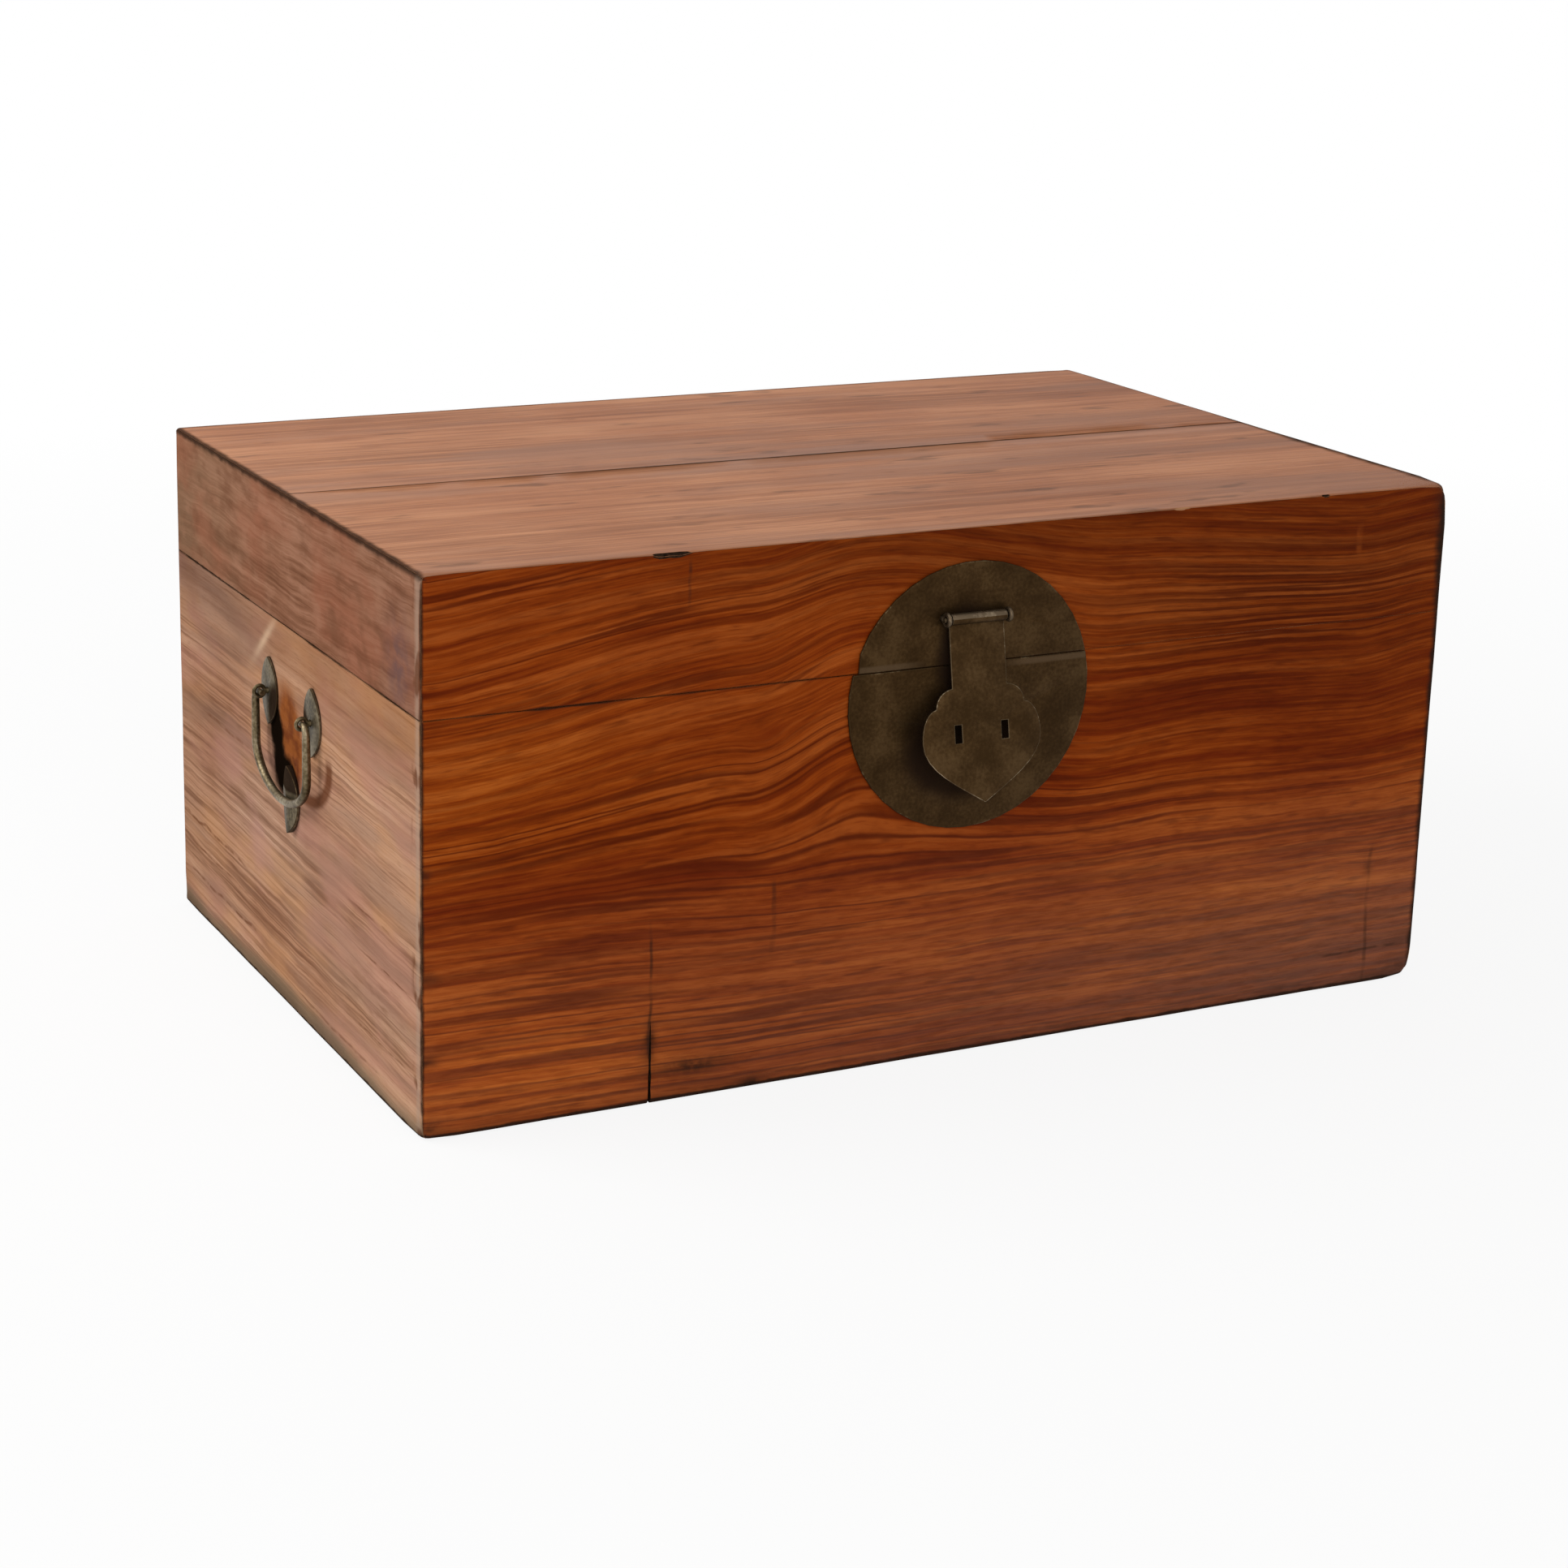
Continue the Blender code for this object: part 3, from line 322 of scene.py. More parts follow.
class Finish(Nodes):
    """Material whose Principled shader is fed by nodes on the piece's own coordinates."""

    def __init__(self, name, specular, metallic):
        self.material = bpy.data.materials.new(name)
        self.material.use_nodes = True
        super().__init__(self.material.node_tree)
        self.shader = self.tree.nodes["Principled BSDF"]
        self.shader.inputs["Specular IOR Level"].default_value = specular
        self.shader.inputs["Metallic"].default_value = metallic
        self.place = self.add("ShaderNodeTexCoord").outputs["Object"]
        self.x, self.y, self.z = self.add("ShaderNodeSeparateXYZ", {0: self.place}).outputs

    def spread(self, value, low, high, to_low=0.0, to_high=1.0):
        """Smooth step of a value from one range to another."""
        limits = {"Value": value, "From Min": low, "From Max": high, "To Min": to_low, "To Max": to_high}
        return self.made("ShaderNodeMapRange", limits, interpolation_type="SMOOTHSTEP")

    def off(self, value, middle):
        """How far a value is from the middle, either way."""
        return self.calc("ABSOLUTE", self.less(value, middle))

    def cloud(self, stretch, detail=2.0, within=None):
        """Noise about 0.5, with so many lumps a metre along each axis."""
        place = self.place if within is None else within
        scaled = self.made("ShaderNodeVectorMath", {0: place, 1: stretch}, operation="MULTIPLY")
        return self.made("ShaderNodeTexNoise", {"Vector": scaled, "Scale": 1.0, "Detail": detail})

    def tint(self, factor, under, over, mode="MIX"):
        inputs = {0: factor, 6: under, 7: over}
        return self.add("ShaderNodeMix", inputs, data_type="RGBA", blend_type=mode).outputs[2]

    def ramp(self, value, stops):
        node = self.add("ShaderNodeValToRGB", {0: value})
        steps = node.color_ramp.elements
        while len(steps) < len(stops):
            steps.new(1.0)
        for step, (place, colour) in zip(steps, stops):
            step.position = place
            step.color = colour
        return node.outputs[0]

    def hump(self, along, across, centre, reach, lean=0.0):
        """Soft spot: 1 at its centre, falling away over its reach both ways; lean shears it."""
        rise = self.less(across, centre[1])
        run = self.add_scaled(rise, -lean, self.less(along, centre[0]))
        total = 0.0
        for offset, width in ((run, reach[0]), (rise, reach[1])):
            share = self.calc("DIVIDE", offset, width)
            total = self.add_scaled(share, share, total)
        return self.calc("EXPONENT", self.times(total, -1.0))

    def line(self, across, along, middle, width, span, fade):
        """Thin wavering and broken line at one place across, along a span: 1 on the line."""
        drift = self.add_scaled(self.cloud(LINE_WOBBLE), 4 * width, middle - 2 * width)
        breaks = self.spread(self.cloud(LINE_BREAKS), 0.36, 0.58, 0.3, 1.0)
        near = self.times(self.spread(self.off(across, drift), 0.2 * width, width, 1.0, 0.0), breaks)
        start = self.spread(along, span[0] - fade, span[0] + fade)
        stop = self.spread(along, span[1] - fade, span[1] + fade, 1.0, 0.0)
        return self.times(near, self.times(start, stop))

    def close(self, colour, roughness, height, relief):
        """Feed the shader with colour, roughness and a bump of so many metres."""
        self.feed(self.shader.inputs["Base Color"], colour)
        self.feed(self.shader.inputs["Roughness"], roughness)
        bump = self.add("ShaderNodeBump", {"Strength": 1.0, "Distance": relief, "Height": height})
        self.feed(self.shader.inputs["Normal"], bump.outputs[0])
        return self.material


class Camphor(Finish):
    """Camphor board: along is the way its grain runs, across the other way on its face."""

    def __init__(self, name, axes, specular, seed, sway, bends=None, curl=0.003):
        super().__init__(name, specular, 0.0)
        named = {"x": self.x, "y": self.y, "z": self.z}
        self.along, self.across, depth = [named[axis] for axis in axes]
        depth = self.calc("ADD", depth, seed)
        board = self.made("ShaderNodeCombineXYZ", {0: self.along, 1: self.across, 2: depth})
        level = self.add_scaled(self.cloud(SLOW_SWAY, 1.0, board), sway, self.across)
        level = self.add_scaled(self.cloud(QUICK_SWAY, 2.0, board), QUICK_SHARE * sway, level)
        level = self.add_scaled(self.cloud(CURLS, 2.0, board), curl, level)
        for bend in bends(self) if bends else ():
            level = self.calc("ADD", level, bend)
        self.level = level
        self.grain = self.made("ShaderNodeCombineXYZ", {0: self.along, 1: level, 2: depth})
        bands = self.grained(BANDS, 1.0)
        streaks = self.grained(STREAKS, 3.0)
        self.fibres = self.grained(FIBRES, 3.0)
        tone = self.add_scaled(bands, BAND_SHARE, self.times(streaks, STREAK_SHARE))
        self.tone = self.spread(self.add_scaled(self.fibres, FIBRE_SHARE, tone), 0.34, 0.66)
        off = self.off(self.grained(GROWTH_LINES, 1.0), 0.5)
        self.every_line = self.spread(off, 0.01, 0.075, 1.0, 0.0)
        gathered = self.spread(self.grained(GATHERINGS), 0.4, 0.6, 0.15, 1.0)
        self.lines = self.times(self.every_line, gathered)
        self.pores = self.spread(self.grained(PORES, 1.0), 0.58, 0.7)
        self.patches = self.cloud(PATCHES, 3.0)
        self.ragged = self.cloud(RAGS, 3.0)

    def grained(self, stretch, detail=2.0):
        return self.cloud(stretch, detail, self.grain)

    def figured(self, dark, middle, light, line_depth, line=None):
        """Colour of the figure from its three tones, with darker lines and pores."""
        colour = self.ramp(self.tone, ((0.0, dark), (0.5, middle), (1.0, light)))
        colour = self.tint(self.times(self.lines, line_depth), colour, line or dark)
        colour = self.tint(self.times(self.pores, PORE_TINT), colour, dark)
        shade = self.spread(self.patches, 0.4, 0.68, 0.0, 0.75)
        return self.tint(shade, colour, PATCH_SHADE, "MULTIPLY")

    def dashed(self, colour, over, depth):
        """Short dark dashes along the grain."""
        dashes = self.grained(DASHES)
        return self.tint(self.spread(dashes, 0.56, 0.74, 0.0, depth), colour, over)

    def stained(self, colour, stains):
        """Blotches of other colours: lumps a metre, detail, the step that cuts them out, and the colour."""
        for stretch, detail, step, over in stains:
            colour = self.tint(self.spread(self.cloud(stretch, detail), *step), colour, over)
        return colour

    def spot(self, centre, reach, lean=0.0):
        return self.hump(self.along, self.across, centre, reach, lean)

    def spotted(self, colour, over, depth, *place):
        """One soft spot of another colour."""
        return self.tint(self.times(self.spot(*place), depth), colour, over)

    def toned(self, colour, spots):
        """Soft spots, each with its own gain of colour."""
        for centre, reach, gain in spots:
            colour = self.tint(self.spot(centre, reach), colour, gain, "MULTIPLY")
        return colour

    def scratched(self, colour, over, marks, fade, upright):
        """Thin marks, each at one place, so wide, over a span and so deep."""
        across, along = (self.along, self.across) if upright else (self.across, self.along)
        for middle, width, span, depth in marks:
            mark = self.line(across, along, middle, width, span, fade)
            colour = self.tint(self.times(mark, depth), colour, over)
        return colour

    def highlighted_arris_strip(self, colour):
        """Painted highlight: a pale strip by an end's front corner, with dark nicks along it."""
        ragged = self.add_scaled(self.ragged, NICK_RAGGED, self.calc("ADD", HALF_DEPTH, self.y))
        fading = self.spread(ragged, 0.008, 0.014, 0.5, 0.0)
        colour = self.tint(self.times(self.spread(ragged, 0.004, 0.006), fading), colour, ARRIS_HIGHLIGHT)
        nicks = self.spread(self.cloud(NICKS), 0.56, 0.66, 0.0, 0.75)
        beside = self.spread(ragged, 0.01, 0.022, 1.0, 0.0)
        return self.tint(self.times(nicks, beside), colour, RUB_MARK_AND_SHADOW)

    def grime(self):
        """Where grime has gathered: round the arrises, along the foot and in the lid seam."""
        side = self.less(HALF_WIDTH, self.calc("ABSOLUTE", self.x))
        front = self.calc("ADD", HALF_DEPTH, self.y)
        back = self.less(HALF_DEPTH, self.y)
        top = self.less(HEIGHT, self.z)
        face = self.calc("MINIMUM", front, back)
        foot = self.most(self.calc("MINIMUM", side, face), self.z)
        upper = self.spread(self.z, 0.2, 0.34, 0.72, 0.9)
        upper_right = self.times(self.spread(self.x, *LEFT_TO_RIGHT), upper)
        rearward = self.spread(self.y, -0.2, 0.1)
        rightward = self.most(self.less(GRIME_LEFT, upper_right), rearward)
        leftward = self.times(rightward, self.spread(self.x, *LEFT_TO_RIGHT, 0.6, 1.0))
        total = 0.0
        for distance, (near, far, strength) in (
                (self.times(self.most(side, face), rightward), GRIME_CORNER),
                (self.times(self.most(side, top), leftward), GRIME_END_TOP),
                (self.most(front, top), GRIME_FRONT_TOP),
                (self.most(back, top), GRIME_BACK_TOP),
                (foot, GRIME_FOOT)):
            ragged = self.add_scaled(self.ragged, -GRIME_RAGGED, distance)
            shift = GRIME_RAGGED / 2
            band = self.spread(ragged, near - shift, far - shift, strength, 0.0)
            total = self.most(total, band)
        ragged = self.add_scaled(self.ragged, -SEAM_RAGGED, self.off(self.z, SEAM))
        breaks = self.spread(self.cloud(SEAM_BREAKS, 3.0), 0.4, 0.6, 0.35, 1.0)
        strength = self.times(self.spread(self.x, -0.12, 0.1, 0.85, 0.08), breaks)
        seam = self.times(self.spread(ragged, -0.0006, 0.0006, 1.0, 0.0), strength)
        return self.most(total, seam)

    def lacquer(self, colour):
        """Finish the board: grime over the colour, satin lacquer where there is none."""
        grime = self.grime()
        low = self.add_scaled(self.patches, -FOOT_RAGGED, self.z)
        foot = self.spread(low, -0.014, 0.002, 0.4, 0.0)
        colour = self.tint(self.most(grime, foot), colour, GRIME_AND_SHADE)
        roughness = self.add_scaled(self.fibres, 0.16, LACQUER_ROUGHNESS)
        roughness = self.add_scaled(grime, 0.35, roughness)
        height = self.add_scaled(self.pores, -PORE_DEPTH, self.fibres)
        height = self.add_scaled(self.lines, -LINE_DEPTH, height)
        return self.close(colour, roughness, height, LACQUER_RELIEF)


# The front's own figure and marks. A spot is its centre along and up the board, then its reach both ways.
# A bend is where it starts and stops along the board, then its shift of the grain at both.
FRONT_LINE = (0.095, 0.01, 0.0007, 1)
FRONT_DARK = (0.16, 0.018, 0.0012, 1)
FRONT_MIDDLE = (0.285, 0.049, 0.0035, 1)
FRONT_LIGHT = (0.4, 0.09, 0.013, 1)
FRONT_DUST = (0.075, 0.115, 0.095, 1)
FRONT_GRIT = (0.74, 0.66, 0.58, 1)
FRONT_DIM = (0.6, 0.62, 0.64, 1)
FRONT_RISE = (-0.42, -0.17, 0.0, -0.031)
FRONT_FAULT = (-0.17, -0.08, 0.0, -0.024)
FRONT_SETTLE = (-0.08, 0.12, 0.0, 0.05)
FRONT_FALL = (0.1, 0.33, 0.0, 0.014)
FRONT_KICK = (0.325, 0.4, 0.0, -0.01)
FRONT_ARCH = ((0.23, 0.23), (0.1, 0.07))
FRONT_ARCH_SHIFT = -0.008
FRONT_KNOT = ((-0.152, 0.253), (0.022, 0.014))
FRONT_KNOT_SWIRL = 0.6
FRONT_KNOT_HEART = (0.65, (-0.15, 0.252), (0.009, 0.005), 1.2)
FRONT_CALM = ((0.17, 0.07), (0.27, 0.07))
FRONT_BUSY = (((0.25, 0.295), (0.18, 0.08)), ((-0.32, 0.075), (0.12, 0.06)))
FRONT_RINGED = (((0.25, 0.3), (0.17, 0.07), 0.7), ((-0.1, 0.23), (0.07, 0.045), 0.45))
FRONT_LIFTS = (
    ((-0.31, 0.045), (0.11, 0.036), (1.42, 1.5, 1.12, 1)),
    ((-0.31, 0.225), (0.1, 0.05), (1.26, 1.45, 1.3, 1)),
    ((0.2, 0.085), (0.18, 0.06), (1.2, 1.24, 1.0, 1)))
FRONT_SHADE = (0.45, (-0.285, 0.158), (0.085, 0.01), 2.0)
FRONT_CORNER = ((0.28, 0.34), (0.22, 0.13))
FRONT_BROW = ((0.04, 0.375), (0.24, 0.045))
FRONT_SMUDGES = (
    ((-0.205, 0.023), (0.026, 0.0065), 0.85), ((-0.16, 0.004), (0.012, 0.004), 0.8),
    ((-0.237, 0.046), (0.004, 0.014), 0.75), ((0.352, 0.093), (0.004, 0.008), 0.35),
    ((-0.396, 0.006), (0.014, 0.01), 0.65), ((-0.397, 0.055), (0.008, 0.004), 0.7),
    ((-0.396, 0.112), (0.009, 0.005), 0.55), ((-0.398, 0.182), (0.006, 0.005), 0.6),
    ((0.388, 0.008), (0.016, 0.008), 0.45), ((0.394, 0.362), (0.007, 0.016), 0.7))
FRONT_SCRATCHES = (
    (-0.237, 0.0017, (0.03, 0.128), 0.6), (-0.1465, 0.0026, (0.096, 0.145), 0.5),
    (-0.213, 0.0017, (0.346, 0.372), 0.55), (0.354, 0.0024, (0.002, 0.106), 0.42))
FRONT_PALE_SCRATCH = ((0.321, 0.0036, (0.337, 0.353), 0.4),)
FRONT_LOW_SCRATCH = ((0.0272, 0.0017, (0.315, 0.41), 0.55),)


def front_bends(wood):
    """Grain of the front: rising at the left, a fault with a knot beside the lock, an arch at the right."""
    upward = wood.spread(wood.across, 0.12, 0.25)
    high = wood.times(upward, wood.spread(wood.across, 0.31, 0.38, 1.0, 0.6))
    upper = wood.spread(wood.across, 0.28, 0.33)
    rise, fault, settle, fall, kick = [
        wood.times(wood.spread(wood.along, *bend), where)
        for bend, where in (
            (FRONT_RISE, high), (FRONT_FAULT, high), (FRONT_SETTLE, high), (FRONT_FALL, upper),
            (FRONT_KICK, high))]
    arch = wood.times(wood.spot(*FRONT_ARCH), FRONT_ARCH_SHIFT)
    turn = wood.add_scaled(wood.across, -FRONT_KNOT_SWIRL, FRONT_KNOT_SWIRL * FRONT_KNOT[0][1])
    swirl = wood.times(wood.spot(*FRONT_KNOT), turn)
    return rise, fault, settle, arch, fall, kick, swirl


def front_figure(wood):
    """Figure of the front, calm at the lower right, with even growth rings at the upper right."""
    calm = wood.spot(*FRONT_CALM)
    wood.lines = wood.times(wood.lines, wood.spread(calm, 0.1, 0.8, 1.0, 0.35))
    for place in FRONT_BUSY:
        busy = wood.times(wood.every_line, wood.spot(*place))
        wood.lines = wood.most(wood.lines, busy)
    colour = wood.figured(FRONT_DARK, FRONT_MIDDLE, FRONT_LIGHT, line_depth=0.8, line=FRONT_LINE)
    colour = wood.dashed(colour, FRONT_LINE, depth=0.5)
    rings = wood.calc("SINE", wood.times(wood.level, 2 * math.pi / RING_SPACING))
    broken = wood.add_scaled(wood.grained(RING_BREAKS), RING_RAGGED, -RING_RAGGED / 2)
    rings = wood.spread(wood.calc("ADD", rings, broken), 0.3, 1.05)
    for centre, reach, depth in FRONT_RINGED:
        ringed = wood.times(wood.spot(centre, reach), depth)
        colour = wood.tint(wood.times(rings, ringed), colour, FRONT_LINE)
    return colour


def front_colour(wood):
    """The front dusty low down and dim at the upper right, with its knot, scratches and smudges."""
    colour = front_figure(wood)
    low_down = wood.spread(wood.across, 0.0, 0.2, 0.16, 0.0)
    dust = wood.times(low_down, wood.spread(wood.along, -0.4, 0.4, 0.7, 2.6))
    colour = wood.tint(dust, colour, FRONT_DUST, "ADD")
    grit = wood.spread(wood.grained(GRIT), 0.42, 0.66, 0.0, 0.55)
    colour = wood.tint(grit, colour, FRONT_GRIT, "MULTIPLY")
    colour = wood.toned(colour, FRONT_LIFTS)
    colour = wood.spotted(colour, FRONT_DARK, *FRONT_SHADE)
    corner = wood.times(wood.spot(*FRONT_CORNER), 0.8)
    brow = wood.times(wood.spot(*FRONT_BROW), 0.9)
    colour = wood.tint(wood.most(corner, brow), colour, FRONT_DIM, "MULTIPLY")
    colour = wood.scratched(colour, FRONT_LIGHT, FRONT_PALE_SCRATCH, fade=0.006, upright=True)
    colour = wood.spotted(colour, FRONT_DARK, *FRONT_KNOT_HEART)
    patchy = wood.spread(wood.ragged, 0.36, 0.58, 0.5, 1.0)
    for centre, reach, depth in FRONT_SMUDGES:
        smudge = wood.times(wood.spot(centre, reach), patchy)
        colour = wood.tint(wood.times(smudge, depth), colour, GRIME_AND_SHADE)
    colour = wood.scratched(colour, GRIME_AND_SHADE, FRONT_SCRATCHES, fade=0.006, upright=True)
    return wood.scratched(colour, GRIME_AND_SHADE, FRONT_LOW_SCRATCH, fade=0.012, upright=False)


# The ends' own stains and marks, and the bail's painted shadows.
END_DARK = (0.205, 0.096, 0.054, 1)
END_MIDDLE = (0.445, 0.242, 0.146, 1)
END_LIGHT = (0.53, 0.312, 0.2, 1)
END_AMBER = (0.52, 0.26, 0.12, 1)
END_PINK = (0.42, 0.205, 0.148, 1)
END_GREY = (0.25, 0.145, 0.1, 1)
END_FOOT = (0.2, 0.145, 0.092, 1)
END_LOW = (1.06, 1.08, 1.08, 1)
END_REAR = (0.78, 0.75, 0.74, 1)
END_UNDER_SEAM = (0.76, 0.68, 0.59, 1)
INSIDE_BAIL_ORANGE = (0.235, 0.064, 0.012, 1)
INSIDE_BAIL_DARK = (0.13, 0.027, 0.005, 1)
SHADOW_AND_SOOT = (0.006, 0.0035, 0.002, 1)
PALE_SCRAPE = (0.7, 0.5, 0.33, 1)
END_STAINS = (
    ((9.0, 9.0, 30.0), 3.0, (0.47, 0.68, 0.0, 0.45), END_AMBER),
    ((11.0, 10.0, 26.0), 3.0, (0.47, 0.68, 0.0, 0.6), END_PINK),
    ((4.5, 4.5, 38.0), 3.0, (0.47, 0.68, 0.0, 0.45), END_GREY))
END_TONES = (
    ((0.21, 0.278), (0.15, 0.04), (0.6, 0.6, 0.66, 1)),
    ((0.06, 0.12), (0.11, 0.045), (1.04, 1.14, 1.26, 1)))
END_SCRAPE = (0.5, (0.049, 0.265), (0.006, 0.018), -1.2)
END_FLECKED = ((-0.185, 0.069), (0.06, 0.022))
END_SCRATCHES = (
    (0.041, 0.0012, (-0.25, -0.13), 0.5), (0.078, 0.002, (0.105, 0.25), 0.65),
    (0.033, 0.0018, (0.06, 0.255), 0.6), (0.057, 0.0014, (0.095, 0.24), 0.5),
    (0.125, 0.0014, (-0.205, -0.13), 0.45), (0.095, 0.0012, (-0.235, -0.15), 0.6),
    (0.018, 0.0016, (-0.18, -0.02), 0.45), (0.171, 0.002, (0.09, 0.195), 0.45))
END_INSIDE_BAIL = ((-0.006, 0.206), (0.026, 0.034), 0.25)
END_BAIL_SHADOW_AND_SOOT = (((0.027, 0.206), (0.015, 0.03), 0.3), ((0.008, 0.175), (0.026, 0.018), 0.3))
END_LOW_RAGGED = 0.02
END_TOP_RAGGED = 0.03
SHADOW_AND_SOOT_RAGGED = 0.5
BAIL_SHADOW_CENTRE = (-0.036, 0.203)
BAIL_SHADOW_RADII = (0.05, 0.033)


def end_figure(wood):
    """Faded figure of an end: stained in patches, grey at the foot, darker behind and under the seam."""
    colour = wood.figured(END_DARK, END_MIDDLE, END_LIGHT, line_depth=0.7)
    colour = wood.stained(colour, END_STAINS)
    low = wood.add_scaled(wood.patches, -END_LOW_RAGGED, wood.across)
    colour = wood.tint(wood.spread(wood.across, 0.06, 0.15, 1.0, 0.0), colour, END_LOW, "MULTIPLY")
    colour = wood.tint(wood.spread(low, -0.004, 0.01, 0.8, 0.0), colour, END_FOOT)
    rear = wood.spread(wood.along, -0.05, 0.26, 0.0, 0.75)
    colour = wood.tint(rear, colour, END_REAR, "MULTIPLY")
    ragged_top = wood.add_scaled(wood.patches, END_TOP_RAGGED, wood.across)
    under_seam = wood.spread(ragged_top, 0.23, 0.296)
    under_seam = wood.times(under_seam, wood.spread(wood.along, -0.1, 0.2, 1.0, 0.35))
    colour = wood.tint(under_seam, colour, END_UNDER_SEAM, "MULTIPLY")
    return wood.toned(colour, END_TONES)


def end_finish(name, seed):
    """Painted highlight and nicks by the front corner, dark orange inside the bail, painted bail shadows.
    """
    wood = Camphor(name, "yzx", specular=0.0, seed=seed, sway=0.022)
    colour = wood.spotted(end_figure(wood), PALE_SCRAPE, *END_SCRAPE)
    flecks = wood.spread(wood.cloud(END_FLECKS, 3.0), 0.48, 0.72, 0.0, 0.55)
    colour = wood.tint(wood.times(flecks, wood.spot(*END_FLECKED)), colour, END_DARK)
    colour = wood.highlighted_arris_strip(colour)
    colour = wood.scratched(colour, RUB_MARK_AND_SHADOW, END_SCRATCHES, fade=0.02, upright=False)
    # Inside the bail the end is darker and a deeper orange.
    lacquer = wood.tint(wood.spread(wood.ragged, 0.4, 0.66), INSIDE_BAIL_ORANGE, INSIDE_BAIL_DARK)
    inside_bail = wood.spread(wood.spot(*END_INSIDE_BAIL), 0.1, 0.6, 0.0, 0.92)
    colour = wood.tint(inside_bail, colour, lacquer)
    # Painted shadow of the bail's rear leg and bottom, black with soot as well.
    for place in END_BAIL_SHADOW_AND_SOOT:
        soot = wood.add_scaled(wood.ragged, SHADOW_AND_SOOT_RAGGED, wood.spot(*place))
        colour = wood.tint(wood.spread(soot, 0.38, 0.85), colour, SHADOW_AND_SOOT)
    # Painted shadow of the bail's front half: a brown arc on the end.
    run = wood.calc("DIVIDE", wood.calc("ADD", wood.along, -BAIL_SHADOW_CENTRE[0]), BAIL_SHADOW_RADII[0])
    rise = wood.calc("DIVIDE", wood.less(wood.across, BAIL_SHADOW_CENTRE[1]), BAIL_SHADOW_RADII[1])
    ring = wood.calc("SQRT", wood.add_scaled(run, run, wood.times(rise, rise)))
    arc = wood.spread(wood.off(ring, 1.0), 0.05, 0.2, 0.85, 0.0)
    arc = wood.times(arc, wood.spread(wood.along, -0.034, -0.024, 1.0, 0.0))
    arc = wood.times(arc, wood.spread(wood.across, BAIL_SHADOW_CENTRE[1], 0.216, 1.0, 0.0))
    return wood.lacquer(wood.tint(arc, colour, RUB_MARK_AND_SHADOW))


def bare_camphor(name, axes, seed):
    """Planed camphor with no lacquer, as inside the chest and on hidden edges."""
    wood = Camphor(name, axes, specular=0.25, seed=seed, sway=0.03)
    colour = wood.figured(BARE_DARK, BARE_MIDDLE, BARE_LIGHT, line_depth=0.4)
    colour = wood.stained(colour, BARE_STAINS)
    height = wood.add_scaled(wood.pores, -PORE_DEPTH, wood.fibres)
    return wood.close(colour, wood.add_scaled(wood.fibres, 0.15, BARE_ROUGHNESS), height, BARE_RELIEF)


def dirt_finish():
    """Old dirt in splits and broken edges."""
    dirt = Finish("old_dirt", 0.02, 0.0)
    lumps = dirt.cloud(DIRT_LUMPS, 3.0)
    roughness = dirt.add_scaled(lumps, 0.2, DIRT_ROUGHNESS)
    return dirt.close(dirt.ramp(lumps, DIRT_TONES), roughness, lumps, DIRT_RELIEF)


def skin_of(point):
    """Distance of a point from the three outer faces nearest to it, and the axis of the nearest."""
    gaps = [HALF_SIZE[axis] - abs(point[axis] - BOX_MIDDLE[axis]) for axis in range(3)]
    return gaps, gaps.index(min(gaps))


def worn_radius(point, gaps):
    """How round an arris is worn at one place."""
    near = sorted(gaps)
    if gaps[2] > near[1]:
        radius = ARRIS_SIDE
    else:
        radius = ARRIS_TOP if point.z > HEIGHT / 2 else ARRIS_FOOT
    radius += ARRIS_WANDER * noise.noise(point * WANDER_LUMPS)
    radius += DENT_DEPTH * max(0.0, noise.noise(point * DENT_LUMPS) - DENT_RARITY)
    corner = CORNER_WEAR_BACK
    if point.y < 0:
        corner = CORNER_WEAR_LEFT if point.x < 0 else CORNER_WEAR_RIGHT
    return radius + corner * math.exp(-(near[2] / CORNER_REACH) ** 2)


def worn_place(point):
    """Where a point of the new board lies on the old one."""
    gaps, skin = skin_of(point)
    centred = point - BOX_MIDDLE
    radius = worn_radius(point, gaps)
    over = [max(0.0, radius - gap) for gap in gaps]
    reach = math.sqrt(sum(value * value for value in over))
    if reach > radius:
        for axis in range(3):
            if over[axis] > 0:
                inside = HALF_SIZE[axis] - radius + over[axis] * radius / reach
                centred[axis] = math.copysign(inside, centred[axis])
    if gaps[skin] < ON_SKIN:
        sink = UNEVEN * (0.5 + 0.5 * noise.noise(point * UNEVEN_LUMPS))
        from_seam = max(0.0, abs(point.z - SEAM) - (LID_FOOT - CASE_TOP) / 2) / SEAM_EASE
        tight = point.x > SEAM_TIGHT and point.y < -HALF_DEPTH + SKIN
        if from_seam < 1 and skin != 2 and not tight:
            wander = 1 + SEAM_WANDER * noise.noise(point * SEAM_LUMPS)
            sink += SEAM_DEPTH * (1 - from_seam) ** 2 * wander
        from_joint = abs(point.y) / JOINT_EASE
        if from_joint < 1 and skin == 2 and point.z > HEIGHT / 2:
            sink += JOINT_DEPTH * (1 - from_joint) ** 2
        centred[skin] -= math.copysign(sink, centred[skin])
    return centred + BOX_MIDDLE


